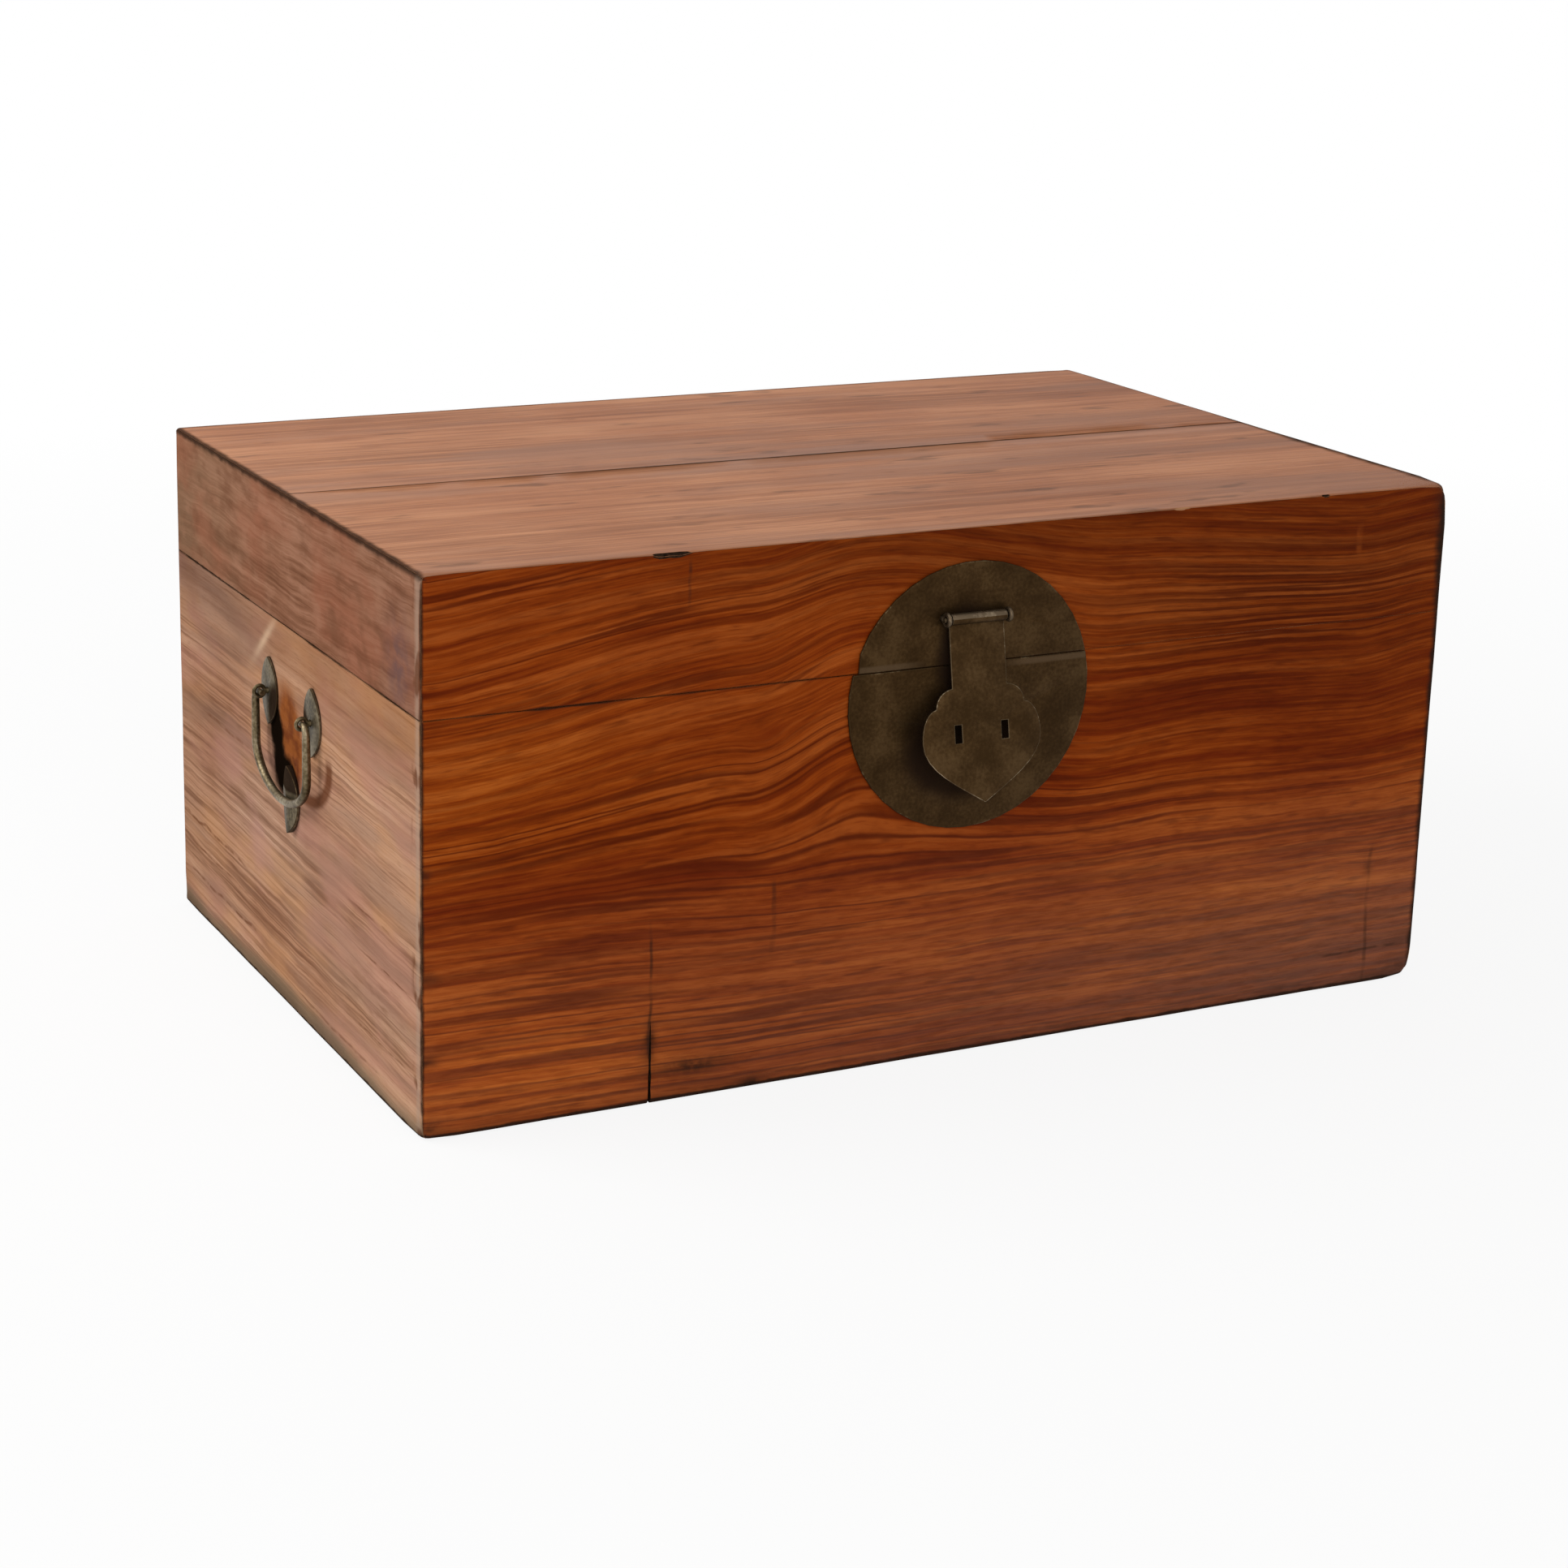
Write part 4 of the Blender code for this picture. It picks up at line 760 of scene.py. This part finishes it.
def cut_places(axis, low, high):
    """Where a board is cut across one axis: evenly, and closely near the arrises and the seam."""
    ends = ((-HALF_WIDTH, HALF_WIDTH), (-HALF_DEPTH, HALF_DEPTH), (0.0, HEIGHT))[axis]
    count = round(HALF_WIDTH / FACE_STEP)
    places = [index * FACE_STEP for index in range(-count, count + 1)]
    for step in FINE_STEPS:
        places += [ends[0] + step, ends[1] - step]
        if axis == 2 and step < SEAM_EASE:
            places += [CASE_TOP - step, LID_FOOT + step]
        if axis == 1 and low > LID_FOOT - HALF_DEPTH and step < JOINT_EASE:
            places += [-step, step]
    return [place for place in sorted(places) if low + ON_SKIN < place < high - ON_SKIN]


def merged_copy(node):
    bm = bmesh.new()
    bm.from_mesh(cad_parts[node].data)
    bmesh.ops.remove_doubles(bm, verts=bm.verts, dist=MERGE)
    return bm


def plain_mesh(piece):
    """Replace a piece's mesh by its evaluated form and drop its modifiers."""
    view = bpy.context.evaluated_depsgraph_get()
    mesh = bpy.data.meshes.new_from_object(piece.evaluated_get(view))
    piece.modifiers.clear()
    piece.data = mesh


def place_piece(piece, body, slot, *nodes):
    """Smooth a finished piece and set it in the chest in place of its CAD nodes."""
    piece.data.shade_smooth()
    piece.data.set_sharp_from_angle(angle=SHARP)
    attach(piece, body)
    if nodes:
        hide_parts(*nodes)


def split_cutter(inside):
    """Crooked wedge that opens at the foot of the front."""
    bm = bmesh.new()
    rim = []
    for index in range(SPLIT_STEPS + 1):
        share = index / SPLIT_STEPS
        height = SPLIT_TOP * share - SPLIT_UNDER * (1 - share)
        middle = SPLIT_PLACE + SPLIT_WANDER * noise.noise(Vector((0, 0, height * SPLIT_LUMPS)))
        rag = noise.noise(Vector((SPLIT_RAG_SEED, 0, height * SPLIT_RAGS)))
        half = SPLIT_HALF * math.sqrt(1 - share) * (1 + SPLIT_RAGGED * rag)
        rim.insert(0, Vector((middle - half, -HALF_DEPTH - SPLIT_UNDER, height)))
        if index < SPLIT_STEPS:
            rim.append(Vector((middle + half, -HALF_DEPTH - SPLIT_UNDER, height)))
    face = bm.faces.new([bm.verts.new(place) for place in rim])
    walls = bmesh.ops.extrude_face_region(bm, geom=[face])["geom"]
    deep = [item for item in walls if isinstance(item, bmesh.types.BMVert)]
    bmesh.ops.translate(bm, vec=(0, SPLIT_DEPTH + SPLIT_UNDER, 0), verts=deep)
    bmesh.ops.recalc_face_normals(bm, faces=bm.faces)
    return plain_object("foot_split", bm, inside)


def worn_board(node, body, slot, outer, inner, cutters=()):
    """Old board in place of a new one: lacquered outside, bare within, its splits and chips cut out."""
    bm = merged_copy(node)
    low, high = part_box(node)
    for axis in range(3):
        normal = Vector((0, 0, 0))
        normal[axis] = 1
        for place in cut_places(axis, low[axis], high[axis]):
            every = bm.verts[:] + bm.edges[:] + bm.faces[:]
            bmesh.ops.bisect_plane(bm, geom=every, dist=MERGE, plane_co=normal * place, plane_no=normal)
    for face in bm.faces:
        middle = face.calc_center_median()
        gaps, skin = skin_of(middle)
        outward = math.copysign(1, middle[skin] - BOX_MIDDLE[skin]) * face.normal[skin]
        face.material_index = 0 if gaps[skin] < SKIN and outward > SKIN_SLOPE else 1
    for vert in bm.verts:
        vert.co = worn_place(vert.co)
    piece = plain_object(node + "_worn", bm, outer, inner)
    for cutter in cutters:
        cut = piece.modifiers.new("loss", "BOOLEAN")
        cut.operation = "DIFFERENCE"
        cut.solver = "MANIFOLD"
        cut.material_mode = "TRANSFER"
        cut.object = cutter
    plain_mesh(piece)
    place_piece(piece, body, slot, node)


old_dirt = dirt_finish()
front_wood = Camphor(
    "lacquered_front", "xzy", specular=0.03, seed=3.1, sway=0.026, bends=front_bends, curl=0.0018)
front_finish = front_wood.lacquer(front_colour(front_wood))
back_wood = Camphor("lacquered_back", "xzy", specular=0.03, seed=8.4, sway=0.045)
back_finish = back_wood.lacquer(back_wood.figured(FRONT_DARK, FRONT_MIDDLE, FRONT_LIGHT, line_depth=0.6))
left_finish = end_finish("faded_left_end", seed=5.7)
right_finish = end_finish("faded_right_end", seed=9.2)
bare_long = bare_camphor("bare_long_boards", "xzy", seed=1.3)
bare_short = bare_camphor("bare_end_boards", "yzx", seed=2.6)

split = split_cutter(old_dirt)
worn_board("case_front_board", "case", "lacquered_camphor", front_finish, bare_long, [split])
bpy.data.objects.remove(split)
worn_board("case_back_board", "case", "lacquered_camphor", back_finish, bare_long)
worn_board("case_left_end", "case", "worn_camphor", left_finish, bare_short)
worn_board("case_right_end", "case", "worn_camphor", right_finish, bare_short)


# Bottom boards
# Three plain camphor boards, tongued together edge to edge and never lacquered.
# They are let into a rabbet round the foot of the walls.
bare_floor = bare_camphor("bare_bottom_boards", "xyz", seed=4.9)


def refinish(mesh, finish):
    mesh.materials.clear()
    mesh.materials.append(finish)


for index in (1, 2, 3):
    refinish(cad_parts["bottom_board_%d" % index].data, bare_floor)


# Lip strips
# Four thin strips of bare camphor, glued round the inside of the case mouth.
# They stand above the walls, so that the lid closes over them.
for words, finish in (("front", "back"), bare_long), (("left", "right"), bare_short):
    for word in words:
        refinish(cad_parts["lip_" + word].data, finish)


# Lid walls
# Lid and case were one box, sawn apart, so the front's grain runs across the seam.
# The ends of the lid are of darker, curlier wood than the case below them.
LID_END_DARK = (0.13, 0.052, 0.027, 1)
LID_END_MIDDLE = (0.242, 0.111, 0.064, 1)
LID_END_LIGHT = (0.33, 0.164, 0.102, 1)
LID_END_RED = (0.285, 0.1, 0.056, 1)
LID_END_GREEN = (0.225, 0.135, 0.08, 1)
LID_END_BRUISE = (0.13, 0.072, 0.068, 1)
LID_END_STAINS = (
    ((11.0, 11.0, 20.0), 3.0, (0.42, 0.66, 0.0, 0.5), LID_END_RED),
    ((34.0, 34.0, 75.0), 5.0, (0.46, 0.74, 0.0, 0.55), LID_END_DARK),
    ((34.0, 34.0, 75.0), 5.0, (0.26, 0.46, 0.4, 0.0), LID_END_LIGHT))
BRUISE = ((-0.222, 0.312), (0.022, 0.03))
CHIPS = (
    (-0.228, 0.015, 0.0038, old_dirt),
    (0.167, 0.008, 0.0018, bare_long),
    (0.29, 0.0045, 0.0022, old_dirt))
CHIP_ROUGHNESS = 0.35
CHIP_LUMPS = 1.7
CHIP_SEED = 90


def lid_end_finish(name, seed):
    """Mottled lid end, greener at the back, redder in patches and bruised beside the front corner."""
    wood = Camphor(name, "yzx", specular=0.0, seed=seed, sway=0.03, curl=0.007)
    colour = wood.figured(LID_END_DARK, LID_END_MIDDLE, LID_END_LIGHT, line_depth=0.22)
    colour = wood.tint(wood.spread(wood.along, 0.0, 0.26, 0.0, 0.55), colour, LID_END_GREEN)
    colour = wood.stained(colour, LID_END_STAINS)
    bruise = wood.times(wood.spot(*BRUISE), wood.spread(wood.ragged, 0.35, 0.6, 0.3, 0.8))
    colour = wood.tint(bruise, colour, LID_END_BRUISE)
    return wood.lacquer(wood.highlighted_arris_strip(colour))


def chip_cutter(place, half_length, half_height, inside):
    """Rough lump where a splinter has broken out of the front arris of the lid."""
    bm = bmesh.new()
    bmesh.ops.create_icosphere(bm, subdivisions=3, radius=1.0)
    for vert in bm.verts:
        x, y, z = vert.co
        rough = 1 + CHIP_ROUGHNESS * noise.noise(vert.co * CHIP_LUMPS + Vector((place * CHIP_SEED, 0, 0)))
        vert.co = Vector((x * half_length, y * half_height, z * half_height)) * rough
        vert.co += Vector((place, -HALF_DEPTH, HEIGHT))
    return plain_object("arris_chip", bm, inside)


chips = [chip_cutter(*chip) for chip in CHIPS]
lid_left_finish = lid_end_finish("curly_lid_left_end", seed=12.3)
lid_right_finish = lid_end_finish("curly_lid_right_end", seed=15.8)
worn_board("lid_front_wall", "lid", "lacquered_camphor", front_finish, bare_long, chips)
worn_board("lid_back_wall", "lid", "lacquered_camphor", back_finish, bare_long)
worn_board("lid_left_wall", "lid", "worn_camphor", lid_left_finish, bare_short)
worn_board("lid_right_wall", "lid", "worn_camphor", lid_right_finish, bare_short)


# Lid top
# Two wide camphor boards, tongued together at mid depth and mitred to the lid walls.
# The lacquer has faded, and use has scuffed it.
TOP_DARK = (0.292, 0.1155, 0.0524, 1)
TOP_MIDDLE = (0.47, 0.202, 0.099, 1)
TOP_LIGHT = (0.576, 0.2645, 0.1328, 1)
TOP_GREY = (0.333, 0.1665, 0.1047, 1)
TOP_DIM = (0.83, 0.71, 0.63, 1)
TOP_STAINS = (
    ((2.6, 15.0, 9.0), 3.0, (0.48, 0.68, 0.0, 0.6), TOP_GREY),
    ((2.6, 15.0, 9.0), 3.0, (0.3, 0.44, 0.45, 0.0), TOP_LIGHT))
TOP_FLECKS = (16.0, 60.0, 30.0)
TOP_FLECKED = ((-0.18, -0.19), (0.22, 0.07))
TOP_FLECK_GAIN = 0.06
JOINT_STAIN = (0.4, (0.06, -0.012), (0.34, 0.016))
JOINT_RAGGED = 0.003


def top_colour(wood):
    """Faded figure, soot-dark flecks and the dirty joint along the middle of the lid top."""
    colour = wood.figured(TOP_DARK, TOP_MIDDLE, TOP_LIGHT, line_depth=0.35)
    colour = wood.dashed(colour, TOP_DARK, depth=0.6)
    colour = wood.stained(colour, TOP_STAINS)
    dim = wood.spread(wood.along, -0.1, 0.4, 0.0, 0.55)
    colour = wood.tint(dim, colour, TOP_DIM, "MULTIPLY")
    flecks = wood.cloud(TOP_FLECKS, 3.0)
    flecks = wood.add_scaled(wood.spot(*TOP_FLECKED), TOP_FLECK_GAIN, flecks)
    colour = wood.tint(wood.spread(flecks, 0.62, 0.74, 0.0, 0.4), colour, GRIME_AND_SHADE)
    colour = wood.spotted(colour, TOP_GREY, *JOINT_STAIN)
    off = wood.add_scaled(wood.ragged, -JOINT_RAGGED, wood.calc("ABSOLUTE", wood.across))
    joint = wood.spread(off, -0.0014, 0.0016, 1.0, 0.0)
    strength = wood.spread(wood.along, -0.3, 0.0, 0.12, 0.7)
    strength = wood.times(strength, wood.spread(wood.along, 0.18, 0.29, 1.0, 0.25))
    return wood.tint(wood.times(joint, strength), colour, GRIME_AND_SHADE)


top_wood = Camphor("faded_lid_top", "xyz", specular=0.03, seed=6.3, sway=0.03)
top_finish = top_wood.lacquer(top_colour(top_wood))
bare_top = bare_camphor("bare_lid_top", "xyz", seed=7.7)
worn_board("lid_top_front_board", "lid", "worn_camphor", top_finish, bare_top, chips)
worn_board("lid_top_back_board", "lid", "worn_camphor", top_finish, bare_top)
for chip in chips:
    bpy.data.objects.remove(chip)


# Lock plate and lock eyes
# A round sheet-bronze plate sawn in two at the seam, dark with handling, its rim rubbed a little.
# Two split eyes stand on the lower half to take the lock bar.
PLATE_TONES = ((0.032, 0.0165, 0.0059, 1), (0.048, 0.0257, 0.0096, 1), (0.071, 0.04, 0.016, 1))
RIM_TONES = ((0.04, 0.024, 0.01, 1), (0.04, 0.024, 0.01, 1), (0.15, 0.105, 0.056, 1))
SEAM_HIGHLIGHT = (0.085, 0.052, 0.027, 1)
METAL = 0.85
MOTTLE = (38.0, 38.0, 38.0)
MOTTLE_SHARE = 0.65
SPECKS = (420.0, 420.0, 420.0)
SPECK_SHARE = 0.35
SPECK_HEIGHT = 0.4
SCRATCHES = (900.0, 900.0, 60.0)
BRONZE_RELIEF = 0.00025
HASP_SHADOW_BELLY = ((-0.004, 0.224), (0.045, 0.034))
HASP_SHADOW_NECK = ((-0.003, 0.29), (0.023, 0.036))
UPPER_SEAM_HIGHLIGHT = (0.0026, (-0.06, -0.03, 0.9, 0.0))
LOWER_SEAM_HIGHLIGHT = (-0.003, (0.02, 0.05, 0.0, 0.9))
CORNER_DRAWN_IN = 0.004
CORNER_RISE = 0.01
CORNER_TIGHTNESS = 8
EDGE_WIDTH = 0.0004
EDGE_ANGLE = math.radians(38)
FLAT_ANGLE = math.radians(0.5)


def bronze(name, tones, roughness, shade_and_dirt=None, highlight=None):
    """Bronze with mottled patina, fine scratches, a painted highlight where rubbed, painted shade and dirt.
    """
    metal = Finish(name, 0.0, METAL)
    dark, middle, light = tones
    mottle = metal.cloud(MOTTLE, 5.0)
    specks = metal.cloud(SPECKS, 3.0)
    tone = metal.add_scaled(specks, SPECK_SHARE, metal.times(mottle, MOTTLE_SHARE))
    tone = metal.spread(tone, 0.34, 0.68)
    colour = metal.ramp(tone, ((0.0, dark), (0.5, middle), (1.0, light)))
    if highlight:
        colour = metal.tint(highlight(metal), colour, SEAM_HIGHLIGHT)
    if shade_and_dirt:
        dirty = shade_and_dirt(metal)
        colour = metal.tint(dirty, colour, GRIME_AND_SHADE)
        metal.feed(metal.shader.inputs["Metallic"], metal.spread(dirty, 0.0, 1.0, METAL, 0.0))
    rough = metal.add_scaled(tone, -0.12, roughness)
    rough = metal.add_scaled(metal.cloud(SCRATCHES), 0.1, rough)
    return metal.close(colour, rough, metal.add_scaled(specks, SPECK_HEIGHT, mottle), BRONZE_RELIEF)


def hasp_shadow(metal):
    """Painted shadow of the hasp on the lock plate, beside its neck and belly."""
    belly = metal.hump(metal.x, metal.z, *HASP_SHADOW_BELLY)
    neck = metal.hump(metal.x, metal.z, *HASP_SHADOW_NECK)
    return metal.spread(metal.most(belly, neck), 0.2, 0.52, 0.0, 0.9)


def seam_highlight(metal):
    """Painted highlight on the sawn seam's rubbed edges: upper half's at the left, lower half's at the
    right.
    """
    rise = metal.less(metal.z, SEAM)
    worn = 0.0
    for middle, side in (UPPER_SEAM_HIGHLIGHT, LOWER_SEAM_HIGHLIGHT):
        near = metal.spread(metal.off(rise, middle), 0.001, 0.0032, 1.0, 0.0)
        worn = metal.most(worn, metal.times(metal.spread(metal.x, *side), near))
    return worn


def drawn_in(place):
    """Lower left corner of the upper half plate, bent in a little from the full round."""
    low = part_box("lock_plate_upper")[0]
    rise = (place.z - low.z) / CORNER_RISE
    outward = place.x / low.x
    if place.x < 0:
        place.x += CORNER_DRAWN_IN * math.exp(-rise * rise) * outward ** CORNER_TIGHTNESS


def dressed_fitting(node, body, slot, skin, edge, edge_width=EDGE_WIDTH, reshape=None):
    """Fitting in place of its CAD solid, with eased edges that show rubbed metal."""
    bm = merged_copy(node)
    if reshape:
        for vert in bm.verts:
            reshape(vert.co)
    bmesh.ops.dissolve_limit(bm, angle_limit=FLAT_ANGLE, verts=bm.verts, edges=bm.edges)
    piece = plain_object(node + "_dressed", bm, skin, edge)
    bevel = piece.modifiers.new("eased_edges", "BEVEL")
    bevel.width = edge_width
    bevel.segments = 2
    bevel.limit_method = "ANGLE"
    bevel.angle_limit = EDGE_ANGLE
    bevel.material = 1
    plain_mesh(piece)
    place_piece(piece, body, slot, node)
    return piece


plate_bronze = bronze("plate_bronze", PLATE_TONES, roughness=0.56, shade_and_dirt=hasp_shadow, highlight=seam_highlight)
dark_bronze = bronze("dark_bronze", PLATE_TONES, roughness=0.56)
rim_bronze = bronze("rim_bronze", RIM_TONES, roughness=0.5)
dressed_fitting("lock_plate_lower", "case", "dark_bronze", plate_bronze, rim_bronze)
dressed_fitting("lock_plate_upper", "lid", "dark_bronze", plate_bronze, rim_bronze, reshape=drawn_in)
for word in ("left", "right"):
    dressed_fitting("lock_eye_" + word, "case", "dark_bronze", dark_bronze, rim_bronze)


# Hasp, its pin and its eyes
# A thick bronze sheet cut to a cusped outline and rolled at the top round a pin, which two split eyes
# carry. Fingers have rubbed the cut edges bright. The upper half of the roll carries a painted highlight
# in a lighter bronze, which the eyes share.
HASP_TONES = ((0.038, 0.02, 0.0073, 1), (0.057, 0.0312, 0.0121, 1), (0.08, 0.046, 0.0192, 1))
RUBBED_TONES = ((0.085, 0.058, 0.032, 1), (0.085, 0.058, 0.032, 1), (0.33, 0.26, 0.17, 1))
ROLL_HIGHLIGHT_TONES = ((0.11, 0.078, 0.048, 1), (0.11, 0.078, 0.048, 1), (0.23, 0.175, 0.115, 1))
HASP_EDGE = 0.0006
ROLL_HIGHLIGHT_ABOVE = 0.001

hasp_bronze = bronze("hasp_bronze", HASP_TONES, roughness=0.54)
rubbed_bronze = bronze("rubbed_bronze", RUBBED_TONES, roughness=0.42)
hasp = dressed_fitting("hasp", "hasp", "dark_bronze", hasp_bronze, rubbed_bronze, HASP_EDGE)
roll_highlight_bronze = bronze("roll_highlight_bronze", ROLL_HIGHLIGHT_TONES, roughness=0.4)
hasp.data.materials.append(roll_highlight_bronze)
# Faces of the roll above the pin's middle take the lighter bronze: a painted highlight.
pin_low, pin_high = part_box("hasp_pin")
for face in hasp.data.polygons:
    if face.center.z > (pin_low.z + pin_high.z) / 2 + ROLL_HIGHLIGHT_ABOVE:
        face.material_index = 2
dressed_fitting("hasp_pin", "lid", "bright_bronze", rubbed_bronze, rubbed_bronze)
for word in ("left", "right"):
    dressed_fitting("hasp_eye_" + word, "lid", "bright_bronze", roll_highlight_bronze, rubbed_bronze)


# Bail handles
# A forged bronze bail hangs from two split eyes on leaf-shaped plates and falls against a leaf-shaped
# striker. The metal has gone grey-green, and the bails are rubbed where they are held.
GREEN_TONES = ((0.06, 0.048, 0.031, 1), (0.15, 0.118, 0.072, 1), (0.23, 0.188, 0.124, 1))
BAIL_TONES = ((0.06, 0.043, 0.02, 1), (0.165, 0.125, 0.07, 1), (0.33, 0.27, 0.175, 1))
HANDLE_SHADE_AND_DIRT = 0.95
LEAF_SHADE_AND_DIRT = ((0.032, 0.218), (0.013, 0.02))
STRIKER_SHADE_START = 0.166
STRIKER_SHADE_FADE = 0.004
BAIL_MIDDLE_Y = -0.009
BAIL_KNOTS = (
    ((0.039, 0.23), (0.0035, 0.0), 0.002), ((0.048, 0.23), (0.0035, 0.0), 0.002),
    ((0.055, 0.223), (0.0, -0.0035), 0.0027), ((0.055, 0.192), (0.0, -0.015), 0.0031),
    ((0.0, 0.163), (-0.03, 0.0), 0.003))
BAIL_RESOLUTION = 24
BAIL_ROUNDNESS = 6


def forged_bail(word, finish):
    """Round bar bent through knots of place, handle and radius, given for its rear half."""
    curve = bpy.data.curves.new(word + "_bail_bar", "CURVE")
    curve.dimensions = "3D"
    curve.bevel_depth = 1.0
    curve.bevel_resolution = BAIL_ROUNDNESS
    curve.resolution_u = BAIL_RESOLUTION
    curve.use_fill_caps = True
    knots = list(BAIL_KNOTS)
    for (along, up), (run, rise), radius in reversed(BAIL_KNOTS[:-1]):
        knots.append(((-along, up), (run, -rise), radius))
    low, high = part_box(word + "_bail")
    middle = (low.x + high.x) / 2
    spline = curve.splines.new("BEZIER")
    spline.bezier_points.add(len(knots) - 1)
    for point, ((along, up), (run, rise), radius) in zip(spline.bezier_points, knots):
        point.co = (middle, BAIL_MIDDLE_Y + along, up)
        point.handle_left_type = "FREE"
        point.handle_right_type = "FREE"
        point.handle_left = point.co - Vector((0, run, rise))
        point.handle_right = point.co + Vector((0, run, rise))
        point.radius = radius
    bar = linked(word + "_bail_bar", curve)
    mesh = bpy.data.meshes.new_from_object(bar.evaluated_get(bpy.context.evaluated_depsgraph_get()))
    bpy.data.objects.remove(bar)
    bail = linked(word + "_bail_forged", mesh)
    refinish(mesh, finish)
    place_piece(bail, word + "_bail", "green_bronze", word + "_bail")


def leaf_shade_and_dirt(metal):
    """Inner lower side of a handle leaf, black round its eye with painted shade and dirt."""
    dirty = metal.hump(metal.off(metal.y, BAIL_MIDDLE_Y), metal.z, *LEAF_SHADE_AND_DIRT)
    return metal.spread(dirty, 0.15, 0.6, 0.0, HANDLE_SHADE_AND_DIRT)


def striker_shade_and_dirt(metal):
    """Upper end of the striker, black behind the hanging bail with painted shade and dirt."""
    return metal.spread(metal.z, STRIKER_SHADE_START, STRIKER_SHADE_START + STRIKER_SHADE_FADE, 0.0, HANDLE_SHADE_AND_DIRT)


# Painted shade, with dirt, blackens each leaf round its eye and the striker above the bar.
green_bronze = bronze("green_bronze", GREEN_TONES, roughness=0.5, shade_and_dirt=leaf_shade_and_dirt)
striker_bronze = bronze("striker_bronze", GREEN_TONES, roughness=0.5, shade_and_dirt=striker_shade_and_dirt)
bail_bronze = bronze("bail_bronze", BAIL_TONES, roughness=0.42)
for word in ("left", "right"):
    forged_bail(word, bail_bronze)
    for fitting, skin, edge in (
            ("front_leaf", green_bronze, rim_bronze), ("rear_leaf", green_bronze, rim_bronze),
            ("striker", striker_bronze, rim_bronze),
            ("front_eye", bail_bronze, bail_bronze), ("rear_eye", bail_bronze, bail_bronze)):
        dressed_fitting("%s_handle_%s" % (word, fitting), "case", "green_bronze", skin, edge)


# Back hinges
# Two bronze butt hinges, each of two sheet leaves rolled round a loose pin.
# Four round-headed nails hold each leaf to the back of the chest.
NAIL_SPACING = (0.048, 0.021)
NAIL_MARGIN = 0.0195
NAIL_RADIUS = 0.0024
NAIL_HEIGHT = 0.0011
NAIL_FACETS = {"Segments": 18, "Rings": 10, "Radius": 1.0}
NAIL_VARIES = {"Min": 0.88, "Max": 1.1}
NAIL_SEED = 4
LEAF_SHEET = 0.0018


def nail_tree():
    """Geometry nodes that set four nail heads round each point of a mesh."""
    tree = bpy.data.node_groups.new("hinge_nails", "GeometryNodeTree")
    sockets = tree.interface
    sockets.new_socket("Geometry", in_out="INPUT", socket_type="NodeSocketGeometry")
    for name in ("Spacing across", "Spacing up", "Head radius", "Head height"):
        sockets.new_socket(name, in_out="INPUT", socket_type="NodeSocketFloat")
    sockets.new_socket("Metal", in_out="INPUT", socket_type="NodeSocketMaterial")
    sockets.new_socket("Geometry", in_out="OUTPUT", socket_type="NodeSocketGeometry")
    nodes = Nodes(tree)
    given = nodes.add("NodeGroupInput").outputs
    spacing = {"Size X": given["Spacing across"], "Size Y": given["Spacing up"]}
    grid = nodes.made("GeometryNodeMeshGrid", {**spacing, "Vertices X": 2, "Vertices Y": 2})
    upright = {"Geometry": grid, "Rotation": (math.pi / 2, 0, 0)}
    corners = nodes.made("GeometryNodeTransform", upright)
    ball = nodes.made("GeometryNodeMeshUVSphere", NAIL_FACETS)
    radius = given["Head radius"]
    shape = nodes.made("ShaderNodeCombineXYZ", {0: radius, 1: given["Head height"], 2: radius})
    head = nodes.made("GeometryNodeTransform", {"Geometry": ball, "Scale": shape})
    uneven = nodes.add("FunctionNodeRandomValue", {"Seed": NAIL_SEED}, data_type="FLOAT")
    for socket in uneven.inputs:
        if socket.type == "VALUE" and socket.name in NAIL_VARIES:
            socket.default_value = NAIL_VARIES[socket.name]
    size = [socket for socket in uneven.outputs if socket.type == "VALUE"][0]
    four = nodes.made("GeometryNodeInstanceOnPoints", {"Points": corners, "Instance": head, "Scale": size})
    four = nodes.made("GeometryNodeRealizeInstances", {"Geometry": four})
    every = nodes.made("GeometryNodeInstanceOnPoints", {"Points": given["Geometry"], "Instance": four})
    every = nodes.made("GeometryNodeRealizeInstances", {"Geometry": every})
    every = nodes.made("GeometryNodeSetMaterial", {"Geometry": every, "Material": given["Metal"]})
    nodes.feed(nodes.add("NodeGroupOutput").inputs[0], every)
    return tree


def nailed_leaves(name, body, places, tree, metal):
    """Nail heads of the two leaves on one body."""
    bm = bmesh.new()
    for place in places:
        bm.verts.new(place)
    nails = plain_object(name, bm)
    driven = nails.modifiers.new("nails", "NODES")
    driven.node_group = tree
    sizes = (*NAIL_SPACING, NAIL_RADIUS, NAIL_HEIGHT, metal)
    given = [item for item in tree.interface.items_tree if item.in_out == "INPUT"][1:]
    for item, size in zip(given, sizes):
        driven[item.identifier] = size
    plain_mesh(nails)
    place_piece(nails, body, "bright_bronze")


nails = nail_tree()
for body, end, inward in (("case", 0, NAIL_MARGIN), ("lid", 1, -NAIL_MARGIN)):
    places = []
    for word in ("left", "right"):
        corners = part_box("%s_hinge_%s_leaf" % (word, body))
        middle = (corners[0].x + corners[1].x) / 2
        places.append((middle, corners[0].y + LEAF_SHEET, corners[end].z + inward))
    nailed_leaves("hinge_nails_" + body, body, places, nails, rubbed_bronze)
for word in ("left", "right"):
    dressed_fitting(word + "_hinge_case_leaf", "case", "dark_bronze", dark_bronze, rim_bronze)
    dressed_fitting(word + "_hinge_lid_leaf", "lid", "dark_bronze", dark_bronze, rim_bronze)
    dressed_fitting(word + "_hinge_pin", "case", "bright_bronze", rubbed_bronze, rubbed_bronze)
